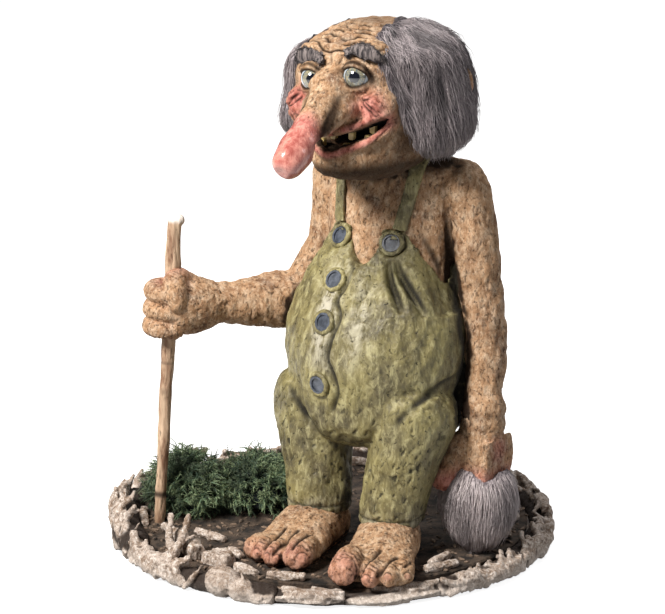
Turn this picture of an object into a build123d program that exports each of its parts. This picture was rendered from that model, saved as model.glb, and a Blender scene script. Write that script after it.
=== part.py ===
from build123d import *

import os
from math import cos, radians, sin

# A hand-made Norwegian troll figure that stands on a driftwood base, leans on a twig
# and holds the tuft of its own tail. Millimetres, +Z up. The origin is the middle of
# the base's underside. The figure faces -Y, so its left side is towards +X.
# Outlines are tables of shares, chosen by eye, of the named sizes beside them.

# Base
felt_radius = 106.0
felt_thickness = 1.0
plinth_radius = 112.0
plinth_thickness = 6.0
plinth_edge_chamfer = 1.5
bed_radius = 109.0
bed_thickness = 3.0
bed_edge_chamfer = 0.9
ground_z = felt_thickness + plinth_thickness + bed_thickness

# Driftwood round the rim
rim_thickness = 13.0
rim_height = 17.0
rim_bottom = 0.8
rim_gap_degrees = 1.4
root_radius = 4.6
twig_radius = 2.0
slab_thickness = 6.5

# Juniper at the figure's right
juniper_length = 48.0
juniper_depth = 38.0
juniper_height = 33.0

# Where the figure stands and how its parts are joined
figure_x = 35.7
figure_y = 12.4
leg_rod_radius = 3.0
leg_rod_sink = 6.0
leg_rod_reach = 12.0
neck_dowel_radius = 4.0
neck_dowel_sink = 28.0
neck_dowel_reach = 24.0

# Feet
foot_length = 66.0
foot_width = 39.0
foot_height = 25.0
heel_length = 17.0
toe_length = 21.0
toe_radius = 6.0
big_toe_radius = 8.2

# Trouser legs
leg_height = 76.0
leg_width = 46.0
leg_depth = 48.0
cuff_height = 17.0
hip_spread = 32.5
ankle_spread = 23.3
hip_forward = 34.0
ankle_forward = 43.0

# Dungarees: one padded belly with a bib that rises to two strap buttons
belly_bottom = 55.0
belly_height = 120.0
belly_width = 102.0
belly_depth = 81.0
bib_peak_spread = 16.0
bib_peak_width = 11.5
bib_notch_depth = 20.0
back_edge_drop = 31.0
armhole_drop = 43.0
neckline_overrun = 40.0

# Chest and shoulders
torso_bottom = 112.0
torso_height = 110.0
torso_width = 78.0
torso_depth = 50.0

# Straps and buttons
strap_width = 7.0
strap_thickness = 1.6
strap_shoulder_spread = 23.5
button_radius = 5.0
button_thickness = 2.6
button_rim = 1.2
button_dish = 0.8
button_seat = 0.6
fly_button_offset = 9.0

# Arms and hands
shoulder_spread = 39.0
arm_radius = 12.8
left_arm_top = 210.5
left_arm_length = 136.5
left_arm_spread = 20.0
left_arm_swing = 10.0
right_elbow_spread = 18.0
right_elbow_forward = 9.0
right_elbow_height = 122.0
forearm_length = 52.0
palm_length = 32.0
palm_width = 29.0
finger_radius = 5.6
thumb_radius = 6.2

# Walking staff
staff_length = 181.0
staff_top_radius = 4.0
staff_foot_radius = 2.6
staff_sink = 7.0
staff_clearance = 0.35
staff_foot_x = -74.6
staff_foot_y = -62.5
staff_lean_x = 0.052
staff_lean_y = 0.035

# Tail
tail_radius = 4.5
tail_root_height = 78.0
tuft_width = 45.0
tuft_depth = 37.0
tuft_height = 47.0

# Head
head_bottom = 204.0
head_height = 81.5
head_width = 83.0
head_depth = 85.0
head_forward = 26.0
nose_length = 55.0
nose_width = 29.0
nose_drop = 32.0
nose_root_height = 252.0
cheek_radius = 11.5
brow_radius = 9.0
chin_radius = 15.0
mouth_width = 58.0
mouth_height = 9.5
mouth_depth = 13.0
mouth_rise = 14.0
mouth_centre_height = 226.5
tooth_width = 3.0
tooth_length = 5.2
tooth_thickness = 2.6
tooth_setback = 3.0
eye_radius = 7.0
eye_spread = 13.0
eye_height = 262.2
right_side_drop = 3.4
eye_seat = 2.6
ear_height = 32.0
ear_length = 24.0
ear_thickness = 9.0
ear_centre_height = 248.0
eyebrow_length = 22.5
eyebrow_thickness = 7.5
eyebrow_height = 273.0

# Hair
tress_height = 73.0
tress_width = 40.0
tress_depth = 60.0
tress_bottom = 213.0
right_tress_share = 0.92
back_hair_height = 66.0
back_hair_width = 90.0
back_hair_depth = 62.0
back_hair_bottom = 212.0

os.makedirs("parts", exist_ok=True)


def place(across, forward, height):
    """A point measured from the figure's mid-plane, the base's middle and the ground."""
    return Vector(figure_x + across, figure_y - forward, ground_z + height)


def level_loft(stations):
    """A rounded form through level ellipses: (centre, half width, half depth), in order."""
    with BuildPart() as form:
        for centre, half_width, half_depth in stations:
            with BuildSketch(Plane(centre)):
                Ellipse(half_width, half_depth)
        loft()
    return form.part


def body_form(table, height, width, depth, bottom, side=1):
    """A body form from a table of shares: height, half width, half depth, forward, across."""
    stations = []
    for height_share, width_share, depth_share, forward_share, across_share in table:
        centre = place(
            side * across_share * width, forward_share * depth, bottom + height_share * height
        )
        stations.append((centre, width_share * width / 2, depth_share * depth / 2))
    return level_loft(stations)


def path_loft(points, radii, flatness=1.0, reference=Vector(1, 0, 0)):
    """A limb through rounded sections that stand square to the path of its points."""
    with BuildPart() as limb:
        for index, (point, radius) in enumerate(zip(points, radii)):
            ahead = points[min(index + 1, len(points) - 1)]
            behind = points[max(index - 1, 0)]
            direction = (ahead - behind).normalized()
            sideways = reference - direction * reference.dot(direction)
            with BuildSketch(Plane(point, x_dir=sideways, z_dir=direction)):
                if flatness == 1.0:
                    Circle(radius)
                else:
                    Ellipse(radius, radius * flatness)
        loft()
    return limb.part


def front_plane(height=0.0, forward=0.0, across=0.0):
    """A plane that faces forward: its X is the figure's left, its Y is up."""
    return Plane(place(across, forward, height), x_dir=(1, 0, 0), z_dir=(0, -1, 0))


def surface_forward(form, across, height):
    """How far forward a form's front surface lies at a place seen from the front."""
    sight_line = Axis(place(across, 0, height), (0, -1, 0))
    hits = form.find_intersection_points(sight_line)
    return max(figure_y - point.Y for point, normal in hits)


def ellipsoid(centre, half_width, half_depth, half_height):
    """A smooth bulge, made as a loft of level ellipses that follow a half circle."""
    stations = []
    for angle in (-78, -52, -26, 0, 26, 52, 78):
        lift = Vector(0, 0, half_height * sin(radians(angle)))
        swell = cos(radians(angle))
        stations.append((centre + lift, half_width * swell, half_depth * swell))
    return level_loft(stations)


def finish(part, name, *cutters):
    """Label and write one finished piece, cut back where larger pieces hold its space."""
    with BuildPart() as piece:
        add(part)
        for cutter in cutters:
            add(cutter, mode=Mode.SUBTRACT)
    piece.part.label = name
    export_step(piece.part, f"parts/{name}.step")
    return piece.part


# Walking staff: its line is needed for the socket in the base and the bore in the fist
staff_direction = Vector(staff_lean_x, staff_lean_y, 1).normalized()
staff_foot = Vector(staff_foot_x, staff_foot_y, ground_z - staff_sink)
staff_plane = Plane(staff_foot, x_dir=(1, 0, 0), z_dir=staff_direction)
staff_radius_shares = (0.0, 0.2, 0.45, 0.75, 1.0)

with BuildPart() as staff:
    for share in staff_radius_shares:
        with BuildSketch(staff_plane.offset(share * staff_length)):
            swell = min(1, share / 0.75)
            Circle(staff_foot_radius + (staff_top_radius - staff_foot_radius) * swell)
    loft()
staff.part.label = "walking_staff"
export_step(staff.part, "parts/walking_staff.step")

with BuildPart() as staff_way:
    with BuildSketch(staff_plane.offset(-staff_clearance)):
        Circle(staff_foot_radius + staff_clearance)
    with BuildSketch(staff_plane.offset(staff_sink + staff_foot_radius)):
        Circle(staff_foot_radius + 2 * staff_clearance)
    loft()

with BuildPart() as staff_bore:
    with BuildSketch(staff_plane.offset(staff_sink)):
        Circle(staff_top_radius + staff_clearance)
    extrude(amount=staff_length)

# Rods that hold the figure on its base and the head on its shoulders
leg_rods = {}
for name, side in (("left", 1), ("right", -1)):
    start = place(side * ankle_spread, ankle_forward, -leg_rod_sink)
    end = place(side * hip_spread, hip_forward, leg_height + leg_rod_reach)
    direction = (end - start).normalized()
    with BuildPart() as leg_rod:
        with BuildSketch(Plane(start, x_dir=(1, 0, 0), z_dir=direction)):
            Circle(leg_rod_radius)
        extrude(amount=(end - start).length)
    leg_rods[name] = finish(leg_rod.part, f"{name}_leg_rod")

with BuildPart() as neck_dowel:
    with BuildSketch(Plane(place(0, head_forward - head_depth / 6, head_bottom - neck_dowel_sink))):
        Circle(neck_dowel_radius)
    extrude(amount=neck_dowel_sink + neck_dowel_reach)
neck_rod = finish(neck_dowel.part, "neck_dowel")

# Base: felt, wooden plinth and the cast bed of soil
with BuildPart() as felt:
    Cylinder(felt_radius, felt_thickness, align=(Align.CENTER, Align.CENTER, Align.MIN))
finish(felt.part, "felt_underlay")

with BuildPart() as plinth:
    with BuildSketch(Plane.XY.offset(felt_thickness)):
        Circle(plinth_radius)
    extrude(amount=plinth_thickness)
    chamfer(plinth.faces().sort_by(Axis.Z)[-1].edges(), plinth_edge_chamfer)
plinth_solid = finish(
    plinth.part, "wooden_plinth", leg_rods["left"], leg_rods["right"], staff_way.part
)

with BuildPart() as bed:
    with BuildSketch(Plane.XY.offset(felt_thickness + plinth_thickness)):
        Circle(bed_radius)
    extrude(amount=bed_thickness)
    chamfer(bed.faces().sort_by(Axis.Z)[-1].edges(), bed_edge_chamfer)
bed_solid = finish(bed.part, "ground_bed", leg_rods["left"], leg_rods["right"], staff_way.part)

# Driftwood that hides the plinth's edge: lengths of bark, root and stone bent round the rim.
# Each row gives the piece's name, where it starts and ends round the base in degrees,
# and the shares of the rim's height at places along it.
rim_pieces = (
    ("left_bark_root", 200, 236, (1.3, 1.7, 1.35, 0.9)),
    ("left_rim_root", 236, 262, (0.75, 0.95, 0.8)),
    ("rim_stone", 262, 288, (0.65, 1.05, 0.7)),
    ("front_slab_left", 288, 307, (0.6, 0.6, 0.5)),
    ("front_slab_right", 307, 334, (0.47, 0.47, 0.5)),
    ("right_front_bark", 334, 361, (0.62, 0.9, 0.85)),
    ("right_rim_bark", 1, 29, (0.85, 1.15, 0.95)),
    ("back_right_bark", 29, 63, (0.9, 1.1, 0.75, 0.9)),
    ("back_right_root", 63, 97, (0.75, 1.0, 1.05, 0.7)),
    ("back_rim_bark", 97, 131, (0.85, 1.15, 0.9, 0.75)),
    ("back_left_root", 131, 165, (0.75, 0.95, 1.05, 0.85)),
    ("back_left_bark", 165, 200, (0.9, 1.1, 1.15, 1.25)),
)
rim_outline_shares = ((-0.5, 0), (0.42, 0), (0.5, 0.42), (0.22, 0.92), (-0.12, 1), (-0.5, 0.8))
rim_wobble_share = 0.1


def rim_piece(start, end, height_shares, seed):
    """One bent length of driftwood: a ruled loft of its outline round part of the rim."""
    spans = len(height_shares) - 1
    with BuildPart() as piece:
        for index, height_share in enumerate(height_shares):
            angle = radians(start + (end - start) * index / spans)
            outward = Vector(cos(angle), sin(angle), 0)
            along = Vector(sin(angle), -cos(angle), 0)
            centre = outward * (plinth_radius + rim_thickness * 0.4) + Vector(0, 0, rim_bottom)
            with BuildSketch(Plane(centre, x_dir=outward, z_dir=along)):
                with BuildLine():
                    corners = []
                    for corner, (out_share, up_share) in enumerate(rim_outline_shares):
                        wobble = 1 + rim_wobble_share * sin(seed * 2.3 + index * 1.7 + corner * 2.9)
                        corners.append(
                            (
                                out_share * rim_thickness * wobble,
                                up_share * rim_height * height_share * wobble,
                            )
                        )
                    Polyline(*corners, close=True)
                make_face()
        loft(ruled=True)
    return piece.part


rim_solids = []
for seed, (name, start, end, height_shares) in enumerate(rim_pieces):
    bent = rim_piece(start + rim_gap_degrees / 2, end - rim_gap_degrees / 2, height_shares, seed)
    rim_solids.append(finish(bent, name, plinth_solid, bed_solid))


def lying(radius_share, degrees_round, height):
    """A point on the bed, by its share of the plinth's radius and its bearing."""
    bearing = radians(degrees_round)
    reach = radius_share * plinth_radius
    return Vector(reach * cos(bearing), reach * sin(bearing), ground_z + height)


# Loose wood on the bed, inside the rim
up = Vector(0, 0, 1)
with BuildPart() as forked_root:
    for bearing in (243, 252):
        add(
            path_loft(
                (
                    lying(0.93, 260, root_radius),
                    lying(0.9, (260 + bearing) / 2, root_radius * 1.2),
                    lying(0.84, bearing, root_radius * 1.4),
                ),
                (root_radius, root_radius * 0.95, root_radius * 0.7),
                reference=up,
            )
        )
forked_root_solid = finish(forked_root.part, "forked_root", bed_solid, *rim_solids)

slab_outline_shares = ((-1.5, -1.1), (1.3, -1.3), (1.1, 0.5), (-0.2, 1.3), (-1.4, 0.8))
with BuildPart() as wedge_slab:
    with BuildSketch(Plane(lying(0.87, 267, 0))):
        with BuildLine():
            slab_corners = [
                (x_share * slab_thickness, y_share * slab_thickness)
                for x_share, y_share in slab_outline_shares
            ]
            Polyline(*slab_corners, close=True)
        make_face()
    extrude(amount=slab_thickness, taper=14)
finish(wedge_slab.part, "wedge_slab", bed_solid, forked_root_solid, *rim_solids)

stick_bearings = {
    "front_sticks": ((0.945, 285, 0.945, 296), (0.74, 262, 0.78, 270), (0.9, 273, 0.945, 282)),
    "left_sticks": ((0.945, 211, 0.94, 225), (0.86, 228, 0.8, 240), (0.72, 236, 0.66, 252)),
    "right_sticks": ((0.935, 332, 0.945, 343), (0.88, 336, 0.83, 346), (0.84, 20, 0.92, 31)),
    "back_sticks": ((0.85, 60, 0.82, 88), (0.8, 100, 0.86, 128), (0.88, 140, 0.8, 170)),
}
for name, sticks in stick_bearings.items():
    with BuildPart() as stick_group:
        for start_share, start, end_share, end in sticks:
            add(
                path_loft(
                    (
                        lying(start_share, start, twig_radius * 0.9),
                        lying((start_share + end_share) / 2, (start + end) / 2, twig_radius),
                        lying(end_share, end, twig_radius * 0.9),
                    ),
                    (twig_radius * 1.1, twig_radius * 1.3, twig_radius),
                    reference=up,
                )
            )
    finish(stick_group.part, name, bed_solid, *rim_solids)

with BuildPart() as leaning_bark:
    add(
        path_loft(
            (
                lying(0.92, 10, root_radius * 0.5),
                lying(0.9, 12, root_radius * 2.2),
                lying(0.86, 15, root_radius * 4.6),
            ),
            (root_radius * 1.5, root_radius * 1.25, root_radius * 0.6),
            flatness=0.5,
            reference=up.cross(Vector(cos(radians(12)), sin(radians(12)), 0)),
        )
    )
leaning_bark_solid = finish(leaning_bark.part, "leaning_bark", bed_solid, *rim_solids)

# Belly, trouser legs and bib of the dungarees. The rows hold shares: height, half width,
# half depth, forward, across.
torso_shares = (
    (0.0, 0.77, 0.8, 0.28, 0),
    (0.21, 0.92, 0.97, 0.26, 0),
    (0.355, 0.95, 1.0, 0.22, 0),
    (0.47, 0.962, 1.01, 0.175, 0),
    (0.58, 0.975, 1.0, 0.14, 0),
    (0.71, 1.0, 0.96, 0.09, 0),
    (0.8, 0.99, 0.88, 0.08, 0),
    (0.87, 0.85, 0.78, 0.1, 0),
    (0.94, 0.6, 0.66, 0.16, 0),
    (1.0, 0.45, 0.6, 0.22, 0),
)
belly_shares = (
    (0.0, 0.2, 0.22, 0.444, 0),
    (0.042, 0.43, 0.52, 0.42, 0),
    (0.142, 0.725, 0.815, 0.37, 0),
    (0.258, 0.9, 0.94, 0.327, 0),
    (0.425, 1.0, 1.0, 0.309, 0),
    (0.567, 0.99, 0.963, 0.278, 0),
    (0.7, 0.912, 0.9, 0.228, 0),
    (0.8, 0.833, 0.815, 0.185, 0),
    (0.908, 0.79, 0.665, 0.131, 0),
    (1.0, 0.78, 0.65, 0.107, 0),
)
leg_shares = (
    (0.0, 0.74, 0.73, 0.0),
    (0.06, 0.78, 0.77, 0.02),
    (0.25, 0.8, 0.79, 0.22),
    (0.45, 0.86, 0.85, 0.5),
    (0.62, 0.95, 0.95, 0.82),
    (0.78, 1.0, 1.0, 1.0),
    (0.9, 0.92, 0.93, 0.9),
    (0.97, 0.72, 0.74, 0.75),
    (1.0, 0.5, 0.52, 0.65),
)

torso_form = body_form(torso_shares, torso_height, torso_width, torso_depth, torso_bottom)
belly_form = body_form(belly_shares, belly_height, belly_width, belly_depth, belly_bottom)
bib_top = belly_bottom + belly_height

with BuildPart() as neckline:
    with BuildSketch(front_plane()):
        with BuildLine():
            edge_points = [
                (belly_width, bib_top - armhole_drop),
                (belly_width * 0.45, bib_top - armhole_drop),
                (bib_peak_spread + bib_peak_width * 1.1, bib_top - bib_notch_depth * 0.55),
                (bib_peak_spread + bib_peak_width / 2, bib_top),
                (bib_peak_spread - bib_peak_width / 2, bib_top),
                (bib_peak_spread * 0.4, bib_top - bib_notch_depth * 0.8),
                (0, bib_top - bib_notch_depth),
            ]
            mirrored = [(-across, height) for across, height in reversed(edge_points[:-1])]
            Polyline(
                *edge_points,
                *mirrored,
                (-belly_width, bib_top + neckline_overrun),
                (belly_width, bib_top + neckline_overrun),
                close=True,
            )
        make_face()
    extrude(amount=belly_depth)
    with BuildSketch(front_plane()):
        with BuildLine():
            back_side = (belly_width * 0.45, bib_top - armhole_drop)
            Polyline(
                (belly_width, back_side[1]),
                back_side,
                (strap_shoulder_spread, bib_top - back_edge_drop),
                (-strap_shoulder_spread, bib_top - back_edge_drop),
                (-back_side[0], back_side[1]),
                (-belly_width, back_side[1]),
                (-belly_width, bib_top + neckline_overrun),
                (belly_width, bib_top + neckline_overrun),
                close=True,
            )
        make_face()
    extrude(amount=-belly_depth)

rods = (leg_rods["left"], leg_rods["right"])
dungarees_solid = finish(belly_form, "dungarees_belly", neckline.part, torso_form, *rods)

trouser_legs = {}
for name, side in (("left", 1), ("right", -1)):
    stations = []
    for height_share, width_share, depth_share, hip_share in leg_shares:
        spread = ankle_spread + hip_share * (hip_spread - ankle_spread)
        forward = ankle_forward + hip_share * (hip_forward - ankle_forward)
        centre = place(side * spread, forward, cuff_height + height_share * leg_height)
        stations.append((centre, width_share * leg_width / 2, depth_share * leg_depth / 2))
    trouser_legs[name] = finish(
        level_loft(stations), f"{name}_trouser_leg", dungarees_solid, torso_form, *rods
    )

# Feet with four toes each. A toe's row gives its place across the foot, its length
# and its thickness, as shares of the foot's width and the toe's sizes.
foot_shares = (
    (-1.0, 0.46, 0.42),
    (-0.6, 0.7, 0.8),
    (0.0, 0.84, 1.0),
    (0.27, 0.9, 0.92),
    (0.5, 0.97, 0.7),
    (0.68, 1.0, 0.52),
    (0.8, 0.9, 0.38),
)
toe_rows = ((-0.335, 1.0, 1.0), (0.02, 0.93, 0.0), (0.25, 0.78, 0.0), (0.44, 0.55, -0.1))
foot_headings = {"left": 21, "right": 9}
foot_solids = {}
with BuildPart() as below_ground:
    with BuildSketch(Plane.XY.offset(ground_z)):
        Circle(2 * plinth_radius)
    extrude(amount=-foot_height)
for name, side in (("left", 1), ("right", -1)):
    heading = radians(foot_headings[name])
    ahead = Vector(sin(heading), -cos(heading), 0)
    outward = Vector(cos(heading), sin(heading), 0) * side
    ankle = place(side * ankle_spread, ankle_forward, 0)
    with BuildPart() as foot:
        for along_share, width_share, height_share in foot_shares:
            reach = heel_length if along_share < 0 else foot_length
            top = height_share * foot_height
            centre = ankle + ahead * (along_share * reach) + up * (top * 0.36)
            with BuildSketch(Plane(centre, x_dir=outward, z_dir=ahead)):
                Ellipse(width_share * foot_width / 2, top * 0.64)
        loft()
        for across_share, length_share, girth_share in toe_rows:
            radius = toe_radius + girth_share * (big_toe_radius - toe_radius)
            knuckle = ankle + ahead * (foot_length * 0.6) + outward * (across_share * foot_width * 0.9)
            splay = ahead + outward * (across_share * 0.35)
            toe_points = [
                knuckle + splay * (length_share * toe_length * step) + up * (radius * lift)
                for step, lift in ((0, 1.15), (0.35, 1.2), (0.7, 1.0), (1.0, 0.85), (1.16, 0.8))
            ]
            toe_radii = [radius * swell for swell in (0.8, 0.95, 1.0, 0.82, 0.4)]
            add(path_loft(toe_points, toe_radii))
    foot_solids[name] = finish(
        foot.part, f"{name}_foot", below_ground.part, trouser_legs[name], leg_rods[name]
    )

# Head: skull, jaw, cheeks, brows and nose in one casting, with a mouth and eye sockets
head_shares = (
    (0.0, 0.3, 0.32, 0.43, 0),
    (0.05, 0.56, 0.58, 0.4, 0),
    (0.14, 0.76, 0.78, 0.36, 0),
    (0.26, 0.89, 0.9, 0.33, 0),
    (0.4, 0.965, 0.97, 0.31, 0),
    (0.55, 1.0, 1.0, 0.3, 0),
    (0.7, 0.985, 0.99, 0.295, 0),
    (0.82, 0.89, 0.9, 0.285, 0),
    (0.91, 0.7, 0.715, 0.28, 0),
    (0.97, 0.43, 0.45, 0.28, 0),
    (1.0, 0.18, 0.19, 0.28, 0),
)
head_form = body_form(head_shares, head_height, head_width, head_depth, head_bottom)
face_forward = surface_forward(head_form, 0, nose_root_height)

# The nose's rows hold shares: along the nose, down the drop, half width, half height
nose_shares = (
    (-0.34, -0.25, 0.92, 1.3),
    (0.0, 0.0, 1.0, 1.2),
    (0.28, 0.24, 0.93, 1.02),
    (0.55, 0.53, 0.86, 0.9),
    (0.78, 0.78, 0.8, 0.82),
    (0.92, 0.93, 0.62, 0.64),
    (0.985, 1.0, 0.26, 0.27),
)
with BuildPart() as head:
    add(head_form)
    nose_points = []
    nose_radii = []
    for along_share, drop_share, width_share, depth_share in nose_shares:
        forward = face_forward - cheek_radius / 2 + along_share * nose_length * 0.86
        nose_points.append(place(0, forward, nose_root_height - drop_share * nose_drop))
        nose_radii.append(width_share * nose_width / 2)
    add(path_loft(nose_points, nose_radii))
    for side in (1, -1):
        drop = right_side_drop if side == -1 else 0
        cheek_across = side * head_width * 0.255
        cheek_height = eye_height - drop - cheek_radius * 1.3
        cheek_forward = surface_forward(head_form, cheek_across, cheek_height)
        add(
            ellipsoid(
                place(cheek_across, cheek_forward - cheek_radius * 0.72, cheek_height),
                cheek_radius * 1.05,
                cheek_radius * 1.06,
                cheek_radius,
            )
        )
        brow_across = side * eye_spread * 1.15
        brow_height = eye_height - drop + eye_radius * 1.7
        brow_forward = surface_forward(head_form, brow_across, brow_height)
        add(
            ellipsoid(
                place(brow_across, brow_forward - brow_radius * 0.62, brow_height),
                brow_radius * 1.3,
                brow_radius,
                brow_radius * 0.75,
            )
        )
    add(
        ellipsoid(
            place(0, surface_forward(head_form, 0, head_bottom + chin_radius) - chin_radius * 0.7,
                  head_bottom + chin_radius * 0.9),
            chin_radius * 1.3,
            chin_radius,
            chin_radius * 0.8,
        )
    )
head_mass = head.part
mouth_forward = surface_forward(head_form, 0, mouth_centre_height)

with BuildPart() as mouth:
    with BuildSketch(front_plane(mouth_centre_height, mouth_forward - mouth_depth)):
        with BuildLine():
            corner = (mouth_width / 2, mouth_rise)
            Spline((-corner[0], corner[1]), (0, mouth_height / 2), corner)
            Spline((-corner[0], corner[1]), (0, -mouth_height / 2), corner)
        make_face()
    extrude(amount=mouth_depth * 3)

glass_eyes = {}
for name, side in (("left", 1), ("right", -1)):
    height = eye_height if side == 1 else eye_height - right_side_drop
    eye_forward = surface_forward(head_form, side * eye_spread, height)
    eye_centre = place(side * eye_spread, eye_forward - eye_seat, height)
    with BuildPart(Plane(eye_centre, x_dir=(-side, 0, 0), z_dir=up)) as eye:
        Sphere(eye_radius)
    glass_eyes[name] = finish(eye.part, f"{name}_glass_eye")
eyes = (glass_eyes["left"], glass_eyes["right"])
head_solid = finish(head_mass, "head", mouth.part, neck_rod, *eyes)

tooth_rows = {
    "upper_teeth": ((-0.28, 1, 0.9), (-0.01, 1, 0.95), (0.17, 1, 1.1), (0.35, 1, 0.95)),
    "lower_teeth": ((-0.16, -1, 1.0), (0.1, -1, 1.15), (0.24, -1, 0.7), (0.3, -1, 0.85)),
}
for name, teeth in tooth_rows.items():
    with BuildPart() as tooth_group:
        for across_share, side, length_share in teeth:
            across = across_share * mouth_width
            bow = (2 * across_share) ** 2
            lip = mouth_centre_height + mouth_rise * bow + side * mouth_height / 2 * (1 - bow)
            tooth_forward = surface_forward(head_form, across, lip) - tooth_setback
            tooth_plane = front_plane(lip, tooth_forward - tooth_thickness, across)
            with BuildSketch(tooth_plane):
                Rectangle(tooth_width, tooth_length * length_share * 1.3)
            extrude(amount=tooth_thickness)
        chamfer(tooth_group.edges().filter_by(Axis.Y), tooth_width * 0.2)
    finish(tooth_group.part, name, head_solid)

# Chest, cut where the head sits on it
torso_solid = finish(torso_form, "torso", head_mass, neck_rod, *rods)


def seated_button(across, height, seat_form):
    """A round button with a raised rim and a dished middle, standing on the cloth."""
    forward = surface_forward(seat_form, across, height)
    slope = (forward - surface_forward(seat_form, across, height - button_radius)) / button_radius
    turn = (surface_forward(seat_form, across + button_radius, height) - forward) / button_radius
    outward = Vector(-turn, -1, -slope).normalized()
    seat = place(across, forward, height) - outward * button_seat
    with BuildPart() as button:
        with BuildSketch(Plane(seat, x_dir=(1, 0, 0), z_dir=outward)):
            Circle(button_radius)
        extrude(amount=button_thickness)
        with BuildSketch(Plane(seat + outward * (button_thickness - button_dish),
                               x_dir=(1, 0, 0), z_dir=outward)):
            Circle(button_radius - button_rim)
        extrude(amount=button_thickness, mode=Mode.SUBTRACT)
    return button.part


fly_heights = (belly_bottom + belly_height * 0.775, belly_bottom + belly_height * 0.6,
               belly_bottom + belly_height * 0.325)
with BuildPart() as fly_buttons:
    for height in fly_heights:
        add(seated_button(-fly_button_offset, height, belly_form))
finish(fly_buttons.part, "fly_buttons", dungarees_solid)

with BuildPart() as strap_buttons:
    for side in (1, -1):
        add(seated_button(side * bib_peak_spread, bib_top - button_radius * 1.4, belly_form))
strap_button_solid = finish(strap_buttons.part, "strap_buttons", dungarees_solid, torso_solid)

# Straps: the chest's own form made thicker, kept only inside two slanted bands
strap_solids = []
thick_torso = body_form(
    torso_shares,
    torso_height + strap_thickness,
    torso_width + 2 * strap_thickness,
    torso_depth + 2 * strap_thickness * 1.2,
    torso_bottom,
)
for name, side in (("left", 1), ("right", -1)):
    with BuildPart() as strap:
        with BuildSketch(front_plane(0, -torso_depth)):
            with BuildLine():
                Polyline(
                    (side * (bib_peak_spread - strap_width / 2), bib_top - bib_notch_depth),
                    (side * (bib_peak_spread + strap_width / 2), bib_top - bib_notch_depth),
                    (side * (strap_shoulder_spread + strap_width / 2), head_bottom),
                    (side * (strap_shoulder_spread + strap_width / 2), head_bottom + torso_height),
                    (side * (strap_shoulder_spread - strap_width / 2), head_bottom + torso_height),
                    (side * (strap_shoulder_spread - strap_width / 2), head_bottom),
                    close=True,
                )
            make_face()
        extrude(amount=2 * belly_depth)
        add(thick_torso, mode=Mode.INTERSECT)
    strap_solids.append(
        finish(
            strap.part,
            f"{name}_strap",
            torso_form,
            dungarees_solid,
            head_mass,
            strap_button_solid,
        )
    )

# Left arm, hanging. Rows hold shares: down the arm, outward, forward, radius.
left_arm_shares = (
    (0.0, -0.1, 0.0, 0.38),
    (0.022, -0.05, 0.0, 0.74),
    (0.06, 0.03, 0.0, 0.95),
    (0.14, 0.2, 0.0, 1.02),
    (0.25, 0.36, 0.0, 1.0),
    (0.37, 0.47, 0.0, 0.98),
    (0.54, 0.65, 0.0, 0.96),
    (0.67, 0.8, 0.15, 0.94),
    (0.82, 0.96, 0.5, 0.82),
    (0.93, 0.99, 0.85, 0.78),
    (1.0, 0.99, 1.0, 0.8),
)
arm_stations = []
for down_share, out_share, forward_share, radius_share in left_arm_shares:
    centre = place(
        shoulder_spread + out_share * left_arm_spread,
        forward_share * left_arm_swing,
        left_arm_top - down_share * left_arm_length,
    )
    arm_stations.append((centre, radius_share * arm_radius * 1.001, radius_share * arm_radius))
left_arm_solid = finish(level_loft(arm_stations), "left_arm", torso_solid, dungarees_solid)

# Right arm, bent to reach the staff: a hanging upper arm and a forearm that runs forward
elbow = place(
    -shoulder_spread - right_elbow_spread, right_elbow_forward, right_elbow_height
)
fist_centre = staff_foot + staff_direction * (right_elbow_height + staff_sink + finger_radius / 2)
reach_direction = (fist_centre - elbow).normalized()
wrist = elbow + reach_direction * forearm_length
shoulder = place(-shoulder_spread, 0, left_arm_top)
upper_arm_rows = ((0.0, 0.0, 0.38), (0.035, 0.0, 0.74), (0.1, 0.02, 0.96), (0.35, 0.12, 1.0),
                  (0.68, 0.42, 1.02), (1.0, 1.0, 1.12), (1.1, 1.02, 0.98), (1.18, 1.02, 0.45))
upper_arm_stations = []
for down_share, out_share, radius_share in upper_arm_rows:
    radius = radius_share * arm_radius
    along = elbow - shoulder
    centre = shoulder + Vector(along.X * out_share, along.Y * out_share, along.Z * down_share)
    upper_arm_stations.append((centre, radius * 1.001, radius))
forearm_rows = ((-0.16, 0.7), (0.08, 1.2), (0.3, 1.22), (0.6, 1.04), (0.85, 0.92), (1.05, 0.9))
with BuildPart() as right_arm:
    add(level_loft(upper_arm_stations))
    add(
        path_loft(
            [elbow + (wrist - elbow) * along_share for along_share, radius_share in forearm_rows],
            [radius_share * arm_radius for along_share, radius_share in forearm_rows],
            reference=up,
        )
    )
right_arm_solid = finish(right_arm.part, "right_arm", torso_solid, dungarees_solid)

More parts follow.
